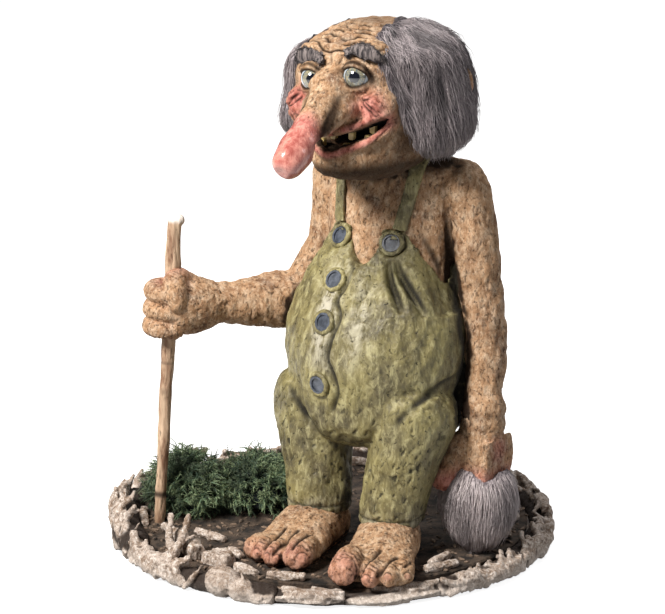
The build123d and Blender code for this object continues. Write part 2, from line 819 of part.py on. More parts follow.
# Right fist, closed round the staff: palm, three fingers that curl round, and a thumb
toward_staff = (fist_centre - wrist).normalized()
front_side = staff_direction.cross(toward_staff)
thumb_side = (front_side - toward_staff).normalized()
palm_rows = ((-0.12, 0.72), (0.15, 0.98), (0.45, 1.12), (0.75, 1.05), (0.95, 0.7))
grip_radius = staff_top_radius + finger_radius * 0.95
with BuildPart() as right_fist:
    add(
        path_loft(
            [wrist + toward_staff * (share * palm_length) for share, radius_share in palm_rows],
            [radius_share * palm_width / 2 for share, radius_share in palm_rows],
            reference=up,
        )
    )
    for step in (-1, 0, 1):
        curl_plane = Plane(
            fist_centre + staff_direction * (step * finger_radius * 1.75 - finger_radius * 0.3),
            x_dir=toward_staff * -1,
            z_dir=staff_direction,
        )
        curl_points = []
        for turn in (-150, -105, -60, -15, 30, 75, 120):
            bearing = radians(turn + 180)
            curl_points.append(
                curl_plane.from_local_coords(
                    Vector(grip_radius * cos(bearing), grip_radius * sin(bearing), 0)
                )
            )
        curl_radii = [finger_radius * swell for swell in (0.75, 1.0, 0.95, 1.02, 0.95, 0.92, 0.6)]
        add(path_loft(curl_points, curl_radii, reference=staff_direction))
    thumb_start = wrist + toward_staff * (palm_length * 0.35) + up * (palm_width * 0.36)
    thumb_points = [
        thumb_start,
        thumb_start + toward_staff * thumb_radius * 1.2 + up * (thumb_radius * 0.55),
        fist_centre + front_side * (grip_radius * 0.9) + up * (finger_radius * 2.6),
        fist_centre + front_side * (grip_radius * 1.35) + up * (finger_radius * 1.2),
        fist_centre + front_side * (grip_radius * 1.4),
    ]
    thumb_radii = [thumb_radius * swell for swell in (0.9, 1.1, 1.0, 0.92, 0.5)]
    add(path_loft(thumb_points, thumb_radii, reference=thumb_side))
finish(right_fist.part, "right_hand", right_arm_solid, staff_bore.part)

# Tail, from the seat of the dungarees round to the left hand
hand_centre = place(
    shoulder_spread + left_arm_spread, left_arm_swing, left_arm_top - left_arm_length
) - up * (palm_length * 0.45)
tail_root = place(0, 0, tail_root_height)
tail_points = [
    tail_root,
    tail_root + Vector(hip_spread * 0.12, leg_depth * 0.42, -tail_radius * 0.3),
    tail_root + Vector(hip_spread * 0.62, leg_depth * 0.56, -tail_radius * 1.8),
    tail_root + Vector(hip_spread * 1.2, leg_depth * 0.38, -tail_radius * 3.2),
    hand_centre + Vector(-palm_width * 0.18, palm_width * 0.34, 0),
    hand_centre + Vector(0, -palm_width * 0.1, -palm_length * 0.2),
]
tail_radii = [tail_radius * swell for swell in (1.6, 1.4, 1.2, 1.05, 0.9, 0.8)]
tail_solid = finish(
    path_loft(tail_points, tail_radii, reference=up),
    "tail",
    dungarees_solid,
    left_arm_solid,
    trouser_legs["left"],
)

# Left hand, closed round the end of the tail, its thumb pointing down and forward
hand_rows = ((-0.5, 0.68, 0.7), (-0.2, 0.84, 0.8), (0.1, 0.98, 0.9), (0.36, 0.96, 0.92),
             (0.56, 0.74, 0.76), (0.64, 0.4, 0.42))
hand_stations = []
for down_share, width_share, depth_share in hand_rows:
    centre = hand_centre - up * (down_share * palm_length)
    hand_stations.append((centre, width_share * palm_width / 2, depth_share * palm_width / 2))
with BuildPart() as left_hand:
    add(level_loft(hand_stations))
    for step in (-1, 0, 1):
        knuckle = hand_centre + Vector(palm_width * 0.3, step * finger_radius * 1.5, 0)
        curl = [
            knuckle + up * (palm_length * 0.1),
            knuckle + Vector(finger_radius * 0.55, 0, -palm_length * 0.2),
            knuckle + Vector(-finger_radius * 0.2, 0, -palm_length * 0.52),
            knuckle + Vector(-finger_radius * 1.7, 0, -palm_length * 0.68),
        ]
        add(path_loft(curl, [finger_radius * swell for swell in (0.8, 1.0, 0.92, 0.6)],
                      reference=Vector(0, 1, 0)))
    thumb_root = hand_centre + Vector(-palm_width * 0.18, -palm_width * 0.22, palm_length * 0.12)
    thumb_reach = Vector(-palm_width * 0.36, -palm_width * 0.42, -palm_length * 0.9)
    add(
        path_loft(
            [thumb_root + thumb_reach * step for step in (0.0, 0.3, 0.62, 0.85, 0.98)],
            [thumb_radius * swell for swell in (1.0, 1.05, 0.92, 0.9, 0.45)],
        )
    )
left_hand_solid = finish(
    left_hand.part, "left_hand", left_arm_solid, tail_solid, trouser_legs["left"]
)

# Tuft of fur at the tail's end, bulging under the hand. Shares: height, width, depth.
tuft_shares = ((0.0, 0.3, 0.3), (0.1, 0.62, 0.62), (0.3, 0.93, 0.93), (0.52, 1.0, 1.0),
               (0.75, 0.84, 0.86), (0.92, 0.5, 0.54), (1.0, 0.24, 0.26))
tuft_stations = []
tuft_bottom = Vector(
    hand_centre.X + tail_radius / 2, hand_centre.Y - tail_radius * 1.6, ground_z + tail_radius / 2
)
for height_share, width_share, depth_share in tuft_shares:
    lean = Vector(hand_centre.X - tuft_bottom.X, hand_centre.Y - tuft_bottom.Y, tuft_height)
    centre = tuft_bottom + lean * height_share
    tuft_stations.append((centre, width_share * tuft_width / 2, depth_share * tuft_depth / 2))
finish(
    level_loft(tuft_stations),
    "tail_tuft",
    left_hand_solid,
    tail_solid,
    trouser_legs["left"],
    foot_solids["left"],
    leaning_bark_solid,
)

# Ears, flat and leaning outward, seated in the sides of the head
ear_shares = ((0.0, 0.3, 0.5, 0.3), (0.15, 0.52, 0.85, 0.36), (0.45, 0.78, 1.0, 0.46),
              (0.75, 0.86, 0.9, 0.54), (0.93, 0.6, 0.62, 0.58), (1.0, 0.28, 0.3, 0.6))
ears = {}
for name, side in (("left", 1), ("right", -1)):
    stations = []
    for height_share, length_share, thickness_share, out_share in ear_shares:
        centre = place(
            side * (head_width / 2 - ear_length * 0.25 + out_share * ear_length * 0.5),
            head_forward - head_depth * 0.12 - height_share * ear_thickness * 0.6,
            ear_centre_height + (height_share - 0.5) * ear_height,
        )
        stations.append(
            (centre, length_share * ear_length / 2, thickness_share * ear_thickness / 2)
        )
    ears[name] = finish(level_loft(stations), f"{name}_ear", head_mass)

# Hair: a fall of fur over the back of the head and a long tress at each side
back_hair_shares = (
    (0.0, 0.62, 0.46, 0.03, 0),
    (0.1, 0.8, 0.72, 0.02, 0),
    (0.32, 0.96, 0.96, 0.04, 0),
    (0.6, 1.0, 1.0, 0.08, 0),
    (0.82, 0.9, 0.93, 0.1, 0),
    (0.95, 0.66, 0.72, 0.12, 0),
    (1.0, 0.42, 0.46, 0.13, 0),
)
tress_shares = (
    (0.0, 0.3, 0.3, 0.467, 1.025),
    (0.055, 0.5, 0.5, 0.45, 1.025),
    (0.15, 0.75, 0.7, 0.417, 1.0),
    (0.315, 0.925, 0.867, 0.367, 0.94),
    (0.507, 1.0, 0.933, 0.35, 0.85),
    (0.67, 1.025, 1.0, 0.367, 0.775),
    (0.81, 1.0, 1.0, 0.383, 0.675),
    (0.918, 0.8, 0.8, 0.333, 0.525),
    (0.973, 0.55, 0.533, 0.283, 0.425),
    (1.0, 0.3, 0.3, 0.25, 0.375),
)
back_hair_form = body_form(
    back_hair_shares, back_hair_height, back_hair_width, back_hair_depth, back_hair_bottom
)
back_hair_solid = finish(
    back_hair_form, "back_hair", head_mass, torso_form, *ears.values(), *strap_solids
)
tresses = {}
for name, side in (("left", 1), ("right", -1)):
    height = tress_height if side == 1 else tress_height * right_tress_share
    tress_form = body_form(tress_shares, height, tress_width, tress_depth, tress_bottom, side)
    arm_solid = left_arm_solid if side == 1 else right_arm_solid
    tresses[name] = finish(
        tress_form,
        f"{name}_tress",
        head_mass,
        back_hair_solid,
        torso_form,
        arm_solid,
        ears[name],
        *strap_solids,
    )

# Eyebrows of fur, arched over the eyes
brow_shares = ((-0.42, -0.08), (-0.16, 0.06), (0.1, 0.1), (0.34, 0.02), (0.5, -0.14))
for name, side in (("left", 1), ("right", -1)):
    base_height = eyebrow_height if side == 1 else eyebrow_height - right_side_drop * 1.4
    brow_points = []
    for across_share, lift_share in brow_shares:
        across = side * (eye_spread * 1.1 + across_share * eyebrow_length)
        height = base_height + lift_share * eyebrow_length
        forward = surface_forward(head_mass, across, height)
        brow_points.append(place(across, forward + eyebrow_thickness * 0.05, height))
    brow_radii = [eyebrow_thickness / 2 * swell for swell in (0.7, 1.05, 1.15, 0.95, 0.4)]
    finish(
        path_loft(brow_points, brow_radii, reference=up),
        f"{name}_eyebrow",
        head_mass,
        glass_eyes[name],
        tresses[name],
    )

# Juniper sprays behind the staff, as two soft clumps. Rows: the clump's place as shares
# of the plinth's radius, then its length, depth and height as shares of the clump's sizes.
juniper_rows = {
    "juniper_front": (-0.655, -0.32, 0.95, 0.95, 1.0),
    "juniper_back": (-0.4, -0.09, 1.0, 1.2, 0.85),
}
clump_shares = ((0.0, 0.8, 0.78), (0.25, 1.0, 0.98), (0.6, 0.84, 0.82), (0.86, 0.52, 0.5),
                (1.0, 0.24, 0.22))
with BuildPart() as staff_space:
    with BuildSketch(staff_plane):
        Circle(staff_top_radius + staff_clearance)
    extrude(amount=staff_length)
clump_solids = []
for name, (x_share, y_share, long_share, deep_share, high_share) in juniper_rows.items():
    stations = []
    for height_share, width_share, depth_share in clump_shares:
        centre = Vector(
            x_share * plinth_radius,
            y_share * plinth_radius,
            ground_z + height_share * high_share * juniper_height,
        )
        stations.append(
            (
                centre,
                width_share * long_share * juniper_length / 2,
                depth_share * deep_share * juniper_depth / 2,
            )
        )
    clump_solids.append(
        finish(
            level_loft(stations),
            name,
            bed_solid,
            staff_space.part,
            trouser_legs["right"],
            foot_solids["right"],
            *rim_solids,
            *clump_solids,
        )
    )
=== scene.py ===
"""A Norwegian troll figure on a driftwood base: the visible surfaces round its CAD model."""

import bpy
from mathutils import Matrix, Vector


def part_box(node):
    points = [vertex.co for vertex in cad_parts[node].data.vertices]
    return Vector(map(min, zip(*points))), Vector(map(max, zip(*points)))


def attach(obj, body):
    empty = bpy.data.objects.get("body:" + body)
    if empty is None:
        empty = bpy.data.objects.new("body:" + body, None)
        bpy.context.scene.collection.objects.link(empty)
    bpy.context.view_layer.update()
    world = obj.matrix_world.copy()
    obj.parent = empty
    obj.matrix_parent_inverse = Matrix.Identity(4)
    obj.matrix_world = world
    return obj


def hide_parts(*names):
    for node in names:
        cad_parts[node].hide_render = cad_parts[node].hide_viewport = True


bl_info = {
    "name": "Norwegian troll figure",
    "version": (1, 0, 0),
    "blender": (4, 5, 0),
    "location": "View3D > Sidebar > Troll",
    "description": "Makes the visible pieces of a folk troll ornament on its driftwood base",
    "category": "Object",
}

import math
import random

import bmesh
import bpy
import numpy as np
from bpy.props import FloatProperty, FloatVectorProperty, IntProperty, PointerProperty
from mathutils import Matrix, Vector, noise
from mathutils.bvhtree import BVHTree

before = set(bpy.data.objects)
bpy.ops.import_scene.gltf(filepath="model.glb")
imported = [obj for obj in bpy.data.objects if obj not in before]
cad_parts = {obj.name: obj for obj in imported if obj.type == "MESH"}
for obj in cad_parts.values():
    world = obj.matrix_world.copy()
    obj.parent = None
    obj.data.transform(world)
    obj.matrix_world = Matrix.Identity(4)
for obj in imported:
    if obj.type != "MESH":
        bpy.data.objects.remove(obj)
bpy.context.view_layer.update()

MM = 0.001
# The figure's mid-plane, its middle from front to back, and the top of the ground, in mm
FIGURE_X = 35.7
FIGURE_Y = 12.4
GROUND_Z = 10.0
UP = (0.0, 0.0, 1.0)
# Corners of the CAD meshes that lie closer than this, in metres, are one corner
SEAM = 2e-6
# The middle of the head, as across, forward and height in mm
HEAD_MIDDLE = (0, 22, 252)
# The direction away from the key light: surfaces turned this way get painted shade
SHADE_SIDE = (0.5, 0.34, -0.75)
# Paint layers; the wash and shade layer holds dark wash in the hollows and painted shade where the
# figure shades itself
PAINT_LAYERS = ("wash", "blush", "gloss", "nail", "bare", "dark")
# The pieces that shade one another
FIGURE_NODES = (
    "torso", "left_arm", "right_arm", "left_hand", "right_hand", "dungarees_belly",
    "left_trouser_leg", "right_trouser_leg", "left_foot", "right_foot", "head",
    "left_tress", "right_tress", "tail_tuft", "ground_bed",
)
# Surfaces and materials that several pieces share, each made once
TREES = {}
MATERIALS = {}


def tint(red, green, blue):
    """A colour given as bytes, turned into the linear values that a shader reads."""
    linear = []
    for byte in (red, green, blue):
        level = byte / 255
        linear.append(level / 12.92 if level <= 0.04045 else ((level + 0.055) / 1.055) ** 2.4)
    return tuple(linear)


def spot(across, forward, height):
    """A place on the figure in mm: from its mid-plane, its middle and the ground."""
    return np.array((FIGURE_X + across, FIGURE_Y - forward, GROUND_Z + height), float)


def spots(rows, side=1):
    """Places on the figure, on its left as they stand or mirrored to its right."""
    return np.array([spot(side * across, forward, height) for across, forward, height in rows])


def sided(rows, side):
    """Rows of (across, height) as they are, or mirrored to the figure's right."""
    return [(side * across, height) for across, height in rows]


def toward(azimuth, elevation):
    """The direction of something at an azimuth from the front and an elevation, in degrees."""
    turn, rise = math.radians(azimuth), math.radians(elevation)
    level = math.cos(rise)
    return np.array((math.sin(turn) * level, -math.cos(turn) * level, math.sin(rise)))


def unit(vector):
    """The same direction, one long."""
    vector = np.array(vector, float)
    return vector / max(np.linalg.norm(vector), 1e-9)


def solid_mesh(node):
    """The mesh of a CAD node, in metres."""
    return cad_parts[node].data


def box_of(node):
    """The lowest and the highest corner of a CAD node, in mm."""
    return [np.array(list(corner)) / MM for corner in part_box(node)]


def values_of(items, name, width=3, kind=np.float32):
    """One value of each vertex, edge or triangle of a mesh, as rows of numbers."""
    flat = np.empty(len(items) * width, kind)
    items.foreach_get(name, flat)
    return flat.reshape(-1, width)


def points_of(mesh):
    """The vertices of a mesh in mm."""
    return values_of(mesh.vertices, "co").astype(float) / MM


def ramp(values, start, width):
    """0 at the start and 1 beyond the width; with a negative width it rises the other way."""
    return np.clip((values - start) / width, 0, 1)


def round_line(points, foot, along):
    """Each point's height along a line, its way out from the line and that way's length."""
    height = (points - foot) @ along
    across = points - foot - np.outer(height, along)
    return height, across, np.linalg.norm(across, axis=1)


# Materials


class Shade:
    """A number that varies over a surface, used in plain expressions."""

    def __init__(self, board, socket):
        self.board = board
        self.socket = socket

    def __add__(self, other):
        return self.board.maths("ADD", self, other)

    __radd__ = __add__

    def __sub__(self, other):
        return self.board.maths("SUBTRACT", self, other)

    def __rsub__(self, other):
        return self.board.maths("SUBTRACT", other, self)

    def __mul__(self, other):
        return self.board.maths("MULTIPLY", self, other)

    __rmul__ = __mul__

    def between(self, low, high):
        """How far the number lies from low to high, kept from 0 to 1."""
        settings = {"interpolation_type": "SMOOTHSTEP"}
        sockets = {"Value": self, "From Min": low, "From Max": high}
        return self.board.node("ShaderNodeMapRange", settings, sockets)


class Board:
    """The node tree of one material."""

    def __init__(self, name):
        self.material = bpy.data.materials.new(name)
        self.material.use_nodes = True
        self.tree = self.material.node_tree
        self.tree.nodes.clear()
        self.place = self.node("ShaderNodeTexCoord", output="Object")

    def put(self, socket, value):
        """Links a number that varies to a socket, or sets a value that doesn't."""
        if isinstance(value, Shade):
            self.tree.links.new(value.socket, socket)
        elif socket.type == "RGBA" and len(value) == 3:
            socket.default_value = (*value, 1.0)
        else:
            socket.default_value = value

    def node(self, kind, settings=None, sockets=None, output=0):
        """Any node: its settings first, then the values or links of its sockets."""
        made = self.tree.nodes.new(kind)
        for setting, value in (settings or {}).items():
            setattr(made, setting, value)
        for socket, value in (sockets or {}).items():
            self.put(made.inputs[socket], value)
        return Shade(self, made.outputs[output]) if len(made.outputs) else made

    def maths(self, operation, *values):
        """One step of arithmetic."""
        return self.node("ShaderNodeMath", {"operation": operation}, dict(enumerate(values)))

    def blend(self, factor, first, second):
        """One colour going over into another."""
        colors = {0: factor, 6: first, 7: second}
        return self.node("ShaderNodeMix", {"data_type": "RGBA"}, colors, output=2)

    def upright(self, squeeze):
        """Places squeezed in height, which draws a pattern out upright."""
        sockets = {"Vector": self.place, "Scale": (1.0, 1.0, squeeze)}
        return self.node("ShaderNodeMapping", None, sockets)

    def grain(self, size, detail, roughness, vector=None, distortion=0.0):
        """Soft noise whose patches are about as many metres across as size says."""
        sockets = {
            "Vector": vector or self.place,
            "Scale": 1.0 / size,
            "Detail": detail,
            "Roughness": roughness,
            "Distortion": distortion,
        }
        return self.node("ShaderNodeTexNoise", None, sockets)

    def layer(self, name):
        """What is painted on the mesh in one of its layers, from 0 to 1."""
        return self.node("ShaderNodeAttribute", {"attribute_name": name}, output=2)

    def bump(self, height, depth):
        """Fine relief, in which a height of 1 stands out by depth metres."""
        sockets = {"Height": height, "Distance": depth, "Strength": 1.0}
        return self.node("ShaderNodeBump", None, sockets)

    def surface(self, color, roughness, normal=None, **fixed):
        """The finished surface; what is the same all over it is set on the shader itself."""
        sockets = {"Base Color": color, "Roughness": roughness}
        if normal is not None:
            sockets["Normal"] = normal
        sockets.update({name.replace("_", " "): value for name, value in fixed.items()})
        shader = self.node("ShaderNodeBsdfPrincipled", None, sockets)
        self.node("ShaderNodeOutputMaterial", None, {"Surface": shader})
        return self.material


def leathery_skin(colors):
    """Painted skin like old leather: mottled ochre and tan, dark specks, pale dry brushing."""
    board = Board("troll_skin")
    wash, blush, gloss = board.layer("wash"), board.layer("blush"), board.layer("gloss")
    nail, dark = board.layer("nail"), board.layer("dark")
    drawn = board.upright(0.6)
    patches = board.grain(0.014, 4.0, 0.62)
    blotch = board.grain(0.0038, 4.0, 0.7, drawn, 0.2)
    specks = board.grain(0.0017, 5.0, 0.74, drawn, 0.6)
    flecks = board.grain(0.001, 3.0, 0.7, drawn, 0.8)
    pits = (1 - specks.between(0.33, 0.45)) * (1 - gloss * 0.9)
    fine_pits = (1 - flecks.between(0.34, 0.44)) * (1 - gloss)
    color = board.blend(patches.between(0.24, 0.56), colors.skin_brown, colors.skin_ochre)
    color = board.blend(blotch.between(0.4, 0.74) * 0.5, color, colors.skin_light)
    color = board.blend(flecks.between(0.54, 0.72) * 0.6, color, colors.skin_light)
    color = board.blend((1 - blotch.between(0.34, 0.5)) * 0.25, color, colors.skin_brown)
    rosy = board.blend(blotch.between(0.3, 0.7), colors.skin_red, colors.skin_pink)
    color = board.blend((blush * (0.6 + blotch * 0.75)).between(0.1, 0.95), color, rosy)
    color = board.blend(nail, color, colors.nail)
    spotted = board.maths("MAXIMUM", pits * 0.72, fine_pits * 0.45)
    # Where the wash and shade layer is painted: dark wash in hollows, and painted shade in
    # recesses and on the shaded side
    wash_and_shade_share = board.maths("MAXIMUM", spotted, (wash * (0.72 + specks * 0.6)).between(0.1, 1.0))
    color = board.blend(wash_and_shade_share * 0.93, color, colors.wash)
    color = board.blend(dark, color, colors.mouth_dark)
    height = (specks * 0.6 + flecks * 0.3 - pits * 0.35) * (1 - gloss * 0.8)
    roughness = 0.6 + wash_and_shade_share * 0.2 - gloss * 0.36 - nail * 0.25
    shine = {"Specular_IOR_Level": 0.12, "Coat_Weight": gloss * 0.8, "Coat_Roughness": 0.16}
    return board.surface(color, roughness, board.bump(height, 0.0011), **shine)


def painted_cloth(colors):
    """Moulded cloth, olive green with pale brushed streaks and dark specks in its dents."""
    board = Board("painted_cloth")
    wash, rub = board.layer("wash"), board.layer("bare")
    drawn = board.upright(0.42)
    patches = board.grain(0.024, 3.0, 0.6)
    streaks = board.grain(0.0042, 4.0, 0.7, drawn, 0.5)
    specks = board.grain(0.0024, 5.0, 0.76, None, 0.7)
    fine = board.grain(0.0011, 3.0, 0.65, drawn)
    pits = 1 - specks.between(0.34, 0.41)
    color = board.blend(patches.between(0.34, 0.64), colors.cloth_brown, colors.cloth_olive)
    color = board.blend(streaks.between(0.46, 0.72) * 0.6, color, colors.cloth_pale)
    color = board.blend(rub * streaks.between(0.38, 0.6) * 0.8, color, colors.cloth_grey)
    color = board.blend(fine.between(0.55, 0.72) * 0.35, color, colors.cloth_pale)
    color = board.blend((1 - streaks.between(0.34, 0.46)) * 0.4, color, colors.cloth_dark)
    # Dark pits, and the wash and shade layer: dark wash in folds, and painted shade under things
    # and on the shaded side
    wash_and_shade_share = board.maths("MAXIMUM", pits * 0.85, (wash * (0.7 + specks * 0.6)).between(0.1, 1.0))
    color = board.blend(wash_and_shade_share * 0.95, color, colors.cloth_dark)
    height = streaks * 0.6 + specks * 0.4 + fine * 0.2 - pits * 0.3
    roughness = 0.42 + wash_and_shade_share * 0.4
    return board.surface(color, roughness, board.bump(height, 0.001), Specular_IOR_Level=0.4)


def grey_fur(name, root, tip, shadow):
    """Combed fur: each strand has its own tone, with painted shadow at its root and in broad
    patches deep in the fall.
    """
    board = Board(name)
    strand, along = board.layer("strand"), board.layer("along")
    color = board.blend(strand.between(0.0, 1.0), root, tip)
    color = board.blend((1 - along.between(0.0, 0.16)) * 0.75, color, shadow)
    broad = board.grain(0.014, 2.0, 0.5, board.upright(0.35))
    color = board.blend(broad.between(0.44, 0.66) * 0.55, color, shadow)
    return board.surface(color, 0.46 + strand * 0.12, Specular_IOR_Level=0.45)


def fur_bed(name, color_low, color_high):
    """The dense fur below the loose strands, grooved the way it is combed."""
    board = Board(name)
    lines = board.grain(0.0014, 3.0, 0.6, board.upright(0.1))
    color = board.blend(lines.between(0.35, 0.65), color_low, color_high)
    return board.surface(color, 0.7, board.bump(lines, 0.0008), Specular_IOR_Level=0.2)


def driftwood(name, colors, pale):
    """Weathered wood: grey beige fibres with dark specks, painted shade in the gaps, and paler
    towards its foot.
    """
    board = Board(name)
    wash, bare = board.layer("wash"), board.layer("bare")
    patches = board.grain(0.011, 4.0, 0.62)
    specks = board.grain(0.0024, 5.0, 0.72, None, 0.7)
    fibres = board.grain(0.001, 3.0, 0.65, board.upright(0.5))
    above_floor = board.node("ShaderNodeSeparateXYZ", None, {0: board.place}, output=2)
    color = board.blend(patches.between(0.32, 0.68), colors.wood_brown, colors.wood_beige)
    color = board.blend(specks.between(0.46, 0.66) * pale, color, colors.wood_pale)
    color = board.blend((1 - specks.between(0.33, 0.46)) * 0.7, color, colors.wood_dark)
    color = board.blend((1 - fibres.between(0.33, 0.5)) * 0.45, color, colors.wood_dark)
    color = board.blend(bare, color, colors.wood_pale)
    # Paler towards the foot
    color = board.blend((1 - above_floor.between(0.0, 0.011)) * 0.55, color, colors.wood_pale)
    # The wash and shade layer: dark wash in hollows, and painted shade in the gaps and recesses
    wash_and_shade_share = (wash * (0.75 + specks * 0.5)).between(0.06, 0.9)
    color = board.blend(wash_and_shade_share * 0.95, color, colors.wood_dark)
    height = fibres * 0.5 + specks * 0.7
    return board.surface(color, 0.84, board.bump(height, 0.0011), Specular_IOR_Level=0.2)


def needle_green(colors):
    """Juniper sprays: blue green, with yellow green growing tips."""
    board = Board("juniper_needles")
    strand, along = board.layer("strand"), board.layer("along")
    color = board.blend(strand, colors.needle_dark, colors.needle_green)
    clumps = board.grain(0.016, 2.0, 0.5)
    color = board.blend(along.between(0.3, 0.95) * 0.8, color, colors.needle_tip)
    # Dark patches, partly painted shade among the sprays
    color = board.blend((1 - clumps.between(0.42, 0.58)) * 0.7, color, colors.needle_dark)
    return board.surface(color, 0.5, Specular_IOR_Level=0.35)


def plain_finish(name, color_low, color_high, size, roughness, depth=0.0004, **fixed):
    """A quiet finish with a soft grain, for felt, soil, turned wood and metal."""
    board = Board(name)
    mottle = board.grain(size, 4.0, 0.65)
    fine = board.grain(size / 6, 2.0, 0.6)
    color = board.blend(mottle.between(0.3, 0.7), color_low, color_high)
    color = board.blend(fine.between(0.5, 0.75) * 0.4, color, color_low)
    normal = board.bump(mottle * 0.5 + fine * 0.5, depth)
    return board.surface(color, roughness, normal, **fixed)


def glass_iris(colors):
    """A glass eye seen from its own layers: white, a ringed iris, a pupil and a wet shine."""
    board = Board("glass_eye")
    ring = board.layer("ring")
    streak = board.grain(0.0009, 3.0, 0.6)
    iris = board.blend(streak.between(0.35, 0.65), colors.iris_dark, colors.iris_amber)
    color = board.blend(ring.between(0.38, 0.42), colors.pupil, iris)
    color = board.blend(ring.between(0.76, 0.81), color, colors.iris_rim)
    color = board.blend(ring.between(0.85, 0.93), color, colors.eye_white)
    return board.surface(color, 0.06, Specular_IOR_Level=0.6, Coat_Weight=1.0, Coat_Roughness=0.03)


def twig_bark(colors):
    """The staff's wood: light brown with darker bark left in patches and pale rubbed spots."""
    board = Board("twig_bark")
    wash, bare = board.layer("wash"), board.layer("bare")
    drawn = board.upright(0.22)
    patches = board.grain(0.009, 4.0, 0.65, drawn, 0.6)
    fibres = board.grain(0.0011, 3.0, 0.6, board.upright(0.12))
    flecks = board.grain(0.0022, 4.0, 0.7, drawn)
    color = board.blend(patches.between(0.36, 0.6), colors.twig_brown, colors.twig_light)
    color = board.blend(fibres.between(0.5, 0.7) * 0.5, color, colors.twig_light)
    color = board.blend((1 - flecks.between(0.33, 0.44)) * 0.75, color, colors.wash)
    color = board.blend(bare, color, colors.wood_pale)
    color = board.blend(wash.between(0.05, 1.0) * 0.9, color, colors.wash)
    height = fibres * 0.6 + flecks * 0.4
    return board.surface(color, 0.66, board.bump(height, 0.0006), Specular_IOR_Level=0.35)


# Shapes


def seen_from_front(tree, across, height, lift=0.0, forward=200.0):
    """A place in mm on the front of a form, raised along the surface's own normal."""
    start = Vector(spot(across, forward, height) * MM)
    hit, normal = tree.ray_cast(start, Vector((0, 1, 0)))[:2]
    if hit is None:
        raise ValueError(f"nothing lies behind across {across}, height {height}")
    return np.array(hit) / MM + np.array(normal) * lift


def tree_of(*meshes):
    """The surfaces of meshes, ready to be looked up."""
    form = bmesh.new()
    for mesh in meshes:
        form.from_mesh(mesh)
    tree = BVHTree.FromBMesh(form)
    form.free()
    return tree


def surroundings():
    """The whole figure's surfaces, which show what stands close in front of a skin."""
    if "figure" not in TREES:
        TREES["figure"] = tree_of(*[solid_mesh(node) for node in FIGURE_NODES])
    return TREES["figure"]


def dress(nodes, finish):
    """Gives CAD nodes that stay in view their material."""
    for node in nodes:
        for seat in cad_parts[node].material_slots:
            seat.material = finish


def noise_at(places):
    """Soft noise from -1 to 1 at each place."""
    return np.array([noise.noise(place) for place in places.tolist()])


def drawn_out(points, grain, stretch):
    """Places for noise that is drawn out along a grain, as fibres and brush marks are."""
    if grain is None:
        return points
    grain = unit(grain)
    return points - np.outer(points @ grain, grain) * (1 - 1 / stretch)


def piece_from(mesh, name, material, replaced=(), body="figure", smooth=True):
    """Puts a finished mesh into the scene as a piece that rides on a body."""
    piece = bpy.data.objects.new(name, mesh)
    bpy.context.collection.objects.link(piece)
    mesh.materials.clear()
    mesh.materials.append(material)
    mesh.polygons.foreach_set("use_smooth", [smooth] * len(mesh.polygons))
    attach(piece, body)
    if replaced:
        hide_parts(*replaced)
    return piece


def mesh_from(form, name):
    """Turns a finished form into a mesh of its own."""
    mesh = bpy.data.meshes.new(name)
    form.to_mesh(mesh)
    form.free()
    return mesh


def add_bead(form, centre, radii):
    """One lump of clay: a ball at a place in mm, or an egg with three radii."""
    radii = (radii,) * 3 if isinstance(radii, (int, float)) else radii
    scale = Matrix.Diagonal((*[radius * MM for radius in radii], 1.0))
    matrix = Matrix.Translation(Vector(centre) * MM) @ scale
    bmesh.ops.create_icosphere(form, subdivisions=2, radius=1.0, matrix=matrix)


def curve_through(points, count):
    """Evenly spaced points on a smooth line through the given ones."""
    points = np.array(points, float)
    if len(points) < 3:
        shares = np.linspace(0, 1, count)[:, None]
        return points[0] * (1 - shares) + points[-1] * shares
    padded = np.vstack([2 * points[0] - points[1], points, 2 * points[-1] - points[-2]])
    line = []
    for place in np.linspace(0, len(points) - 1, count):
        index = min(int(place), len(points) - 2)
        t = place - index
        a, b, c, d = padded[index : index + 4]
        bend, twist = 2 * a - 5 * b + 4 * c - d, 3 * b - a - 3 * c + d
        line.append(0.5 * (2 * b + (c - a) * t + bend * t**2 + twist * t**3))
    return np.array(line)


def add_roll(form, points, radii, spacing=0.5):
    """A roll of clay: beads so close along a line that they fuse into one ridge."""
    points = np.array(points, float)
    length = np.linalg.norm(np.diff(points, axis=0), axis=1).sum()
    count = max(2, int(length / (sum(radii) / len(radii) * spacing)) + 1)
    line = curve_through(points, count)
    swell = np.interp(np.linspace(0, 1, count), np.linspace(0, 1, len(radii)), radii)
    for centre, radius in zip(line, swell):
        add_bead(form, centre, float(radius))


def fused(name, nodes, voxel, rounds, beads=None, several=False, reshape=None):
    """CAD nodes and lumps of clay merged into one skin of even small faces, voxel mm wide."""
    # A loose part with fewer corners is a stray crumb and is dropped
    smallest_shell = 60
    form = bmesh.new()
    for node in nodes:
        form.from_mesh(solid_mesh(node))
    bmesh.ops.remove_doubles(form, verts=form.verts, dist=SEAM)
    if reshape:
        reshape(form)
    if beads:
        clay = bmesh.new()
        beads(clay)
        lumps = mesh_from(clay, name + "_lumps")
        form.from_mesh(lumps)
        bpy.data.meshes.remove(lumps)
    bmesh.ops.recalc_face_normals(form, faces=form.faces)
    rough = bpy.data.objects.new(name + "_rough", mesh_from(form, name + "_rough"))
    bpy.context.collection.objects.link(rough)
    remesh = rough.modifiers.new("one skin", "REMESH")
    remesh.mode = "VOXEL"
    remesh.voxel_size = voxel * MM
    relax = rough.modifiers.new("relax", "SMOOTH")
    relax.factor = 0.5
    relax.iterations = rounds
    seen = rough.evaluated_get(bpy.context.evaluated_depsgraph_get())
    mesh = bpy.data.meshes.new_from_object(seen)
    bpy.data.objects.remove(rough)
    form = bmesh.new()
    form.from_mesh(mesh)
    bpy.data.meshes.remove(mesh)
    shells = shells_of(form)
    for shell in shells[:-1]:
        if not several or len(shell) < smallest_shell:
            bmesh.ops.delete(form, geom=shell, context="VERTS")
    return mesh_from(form, name)


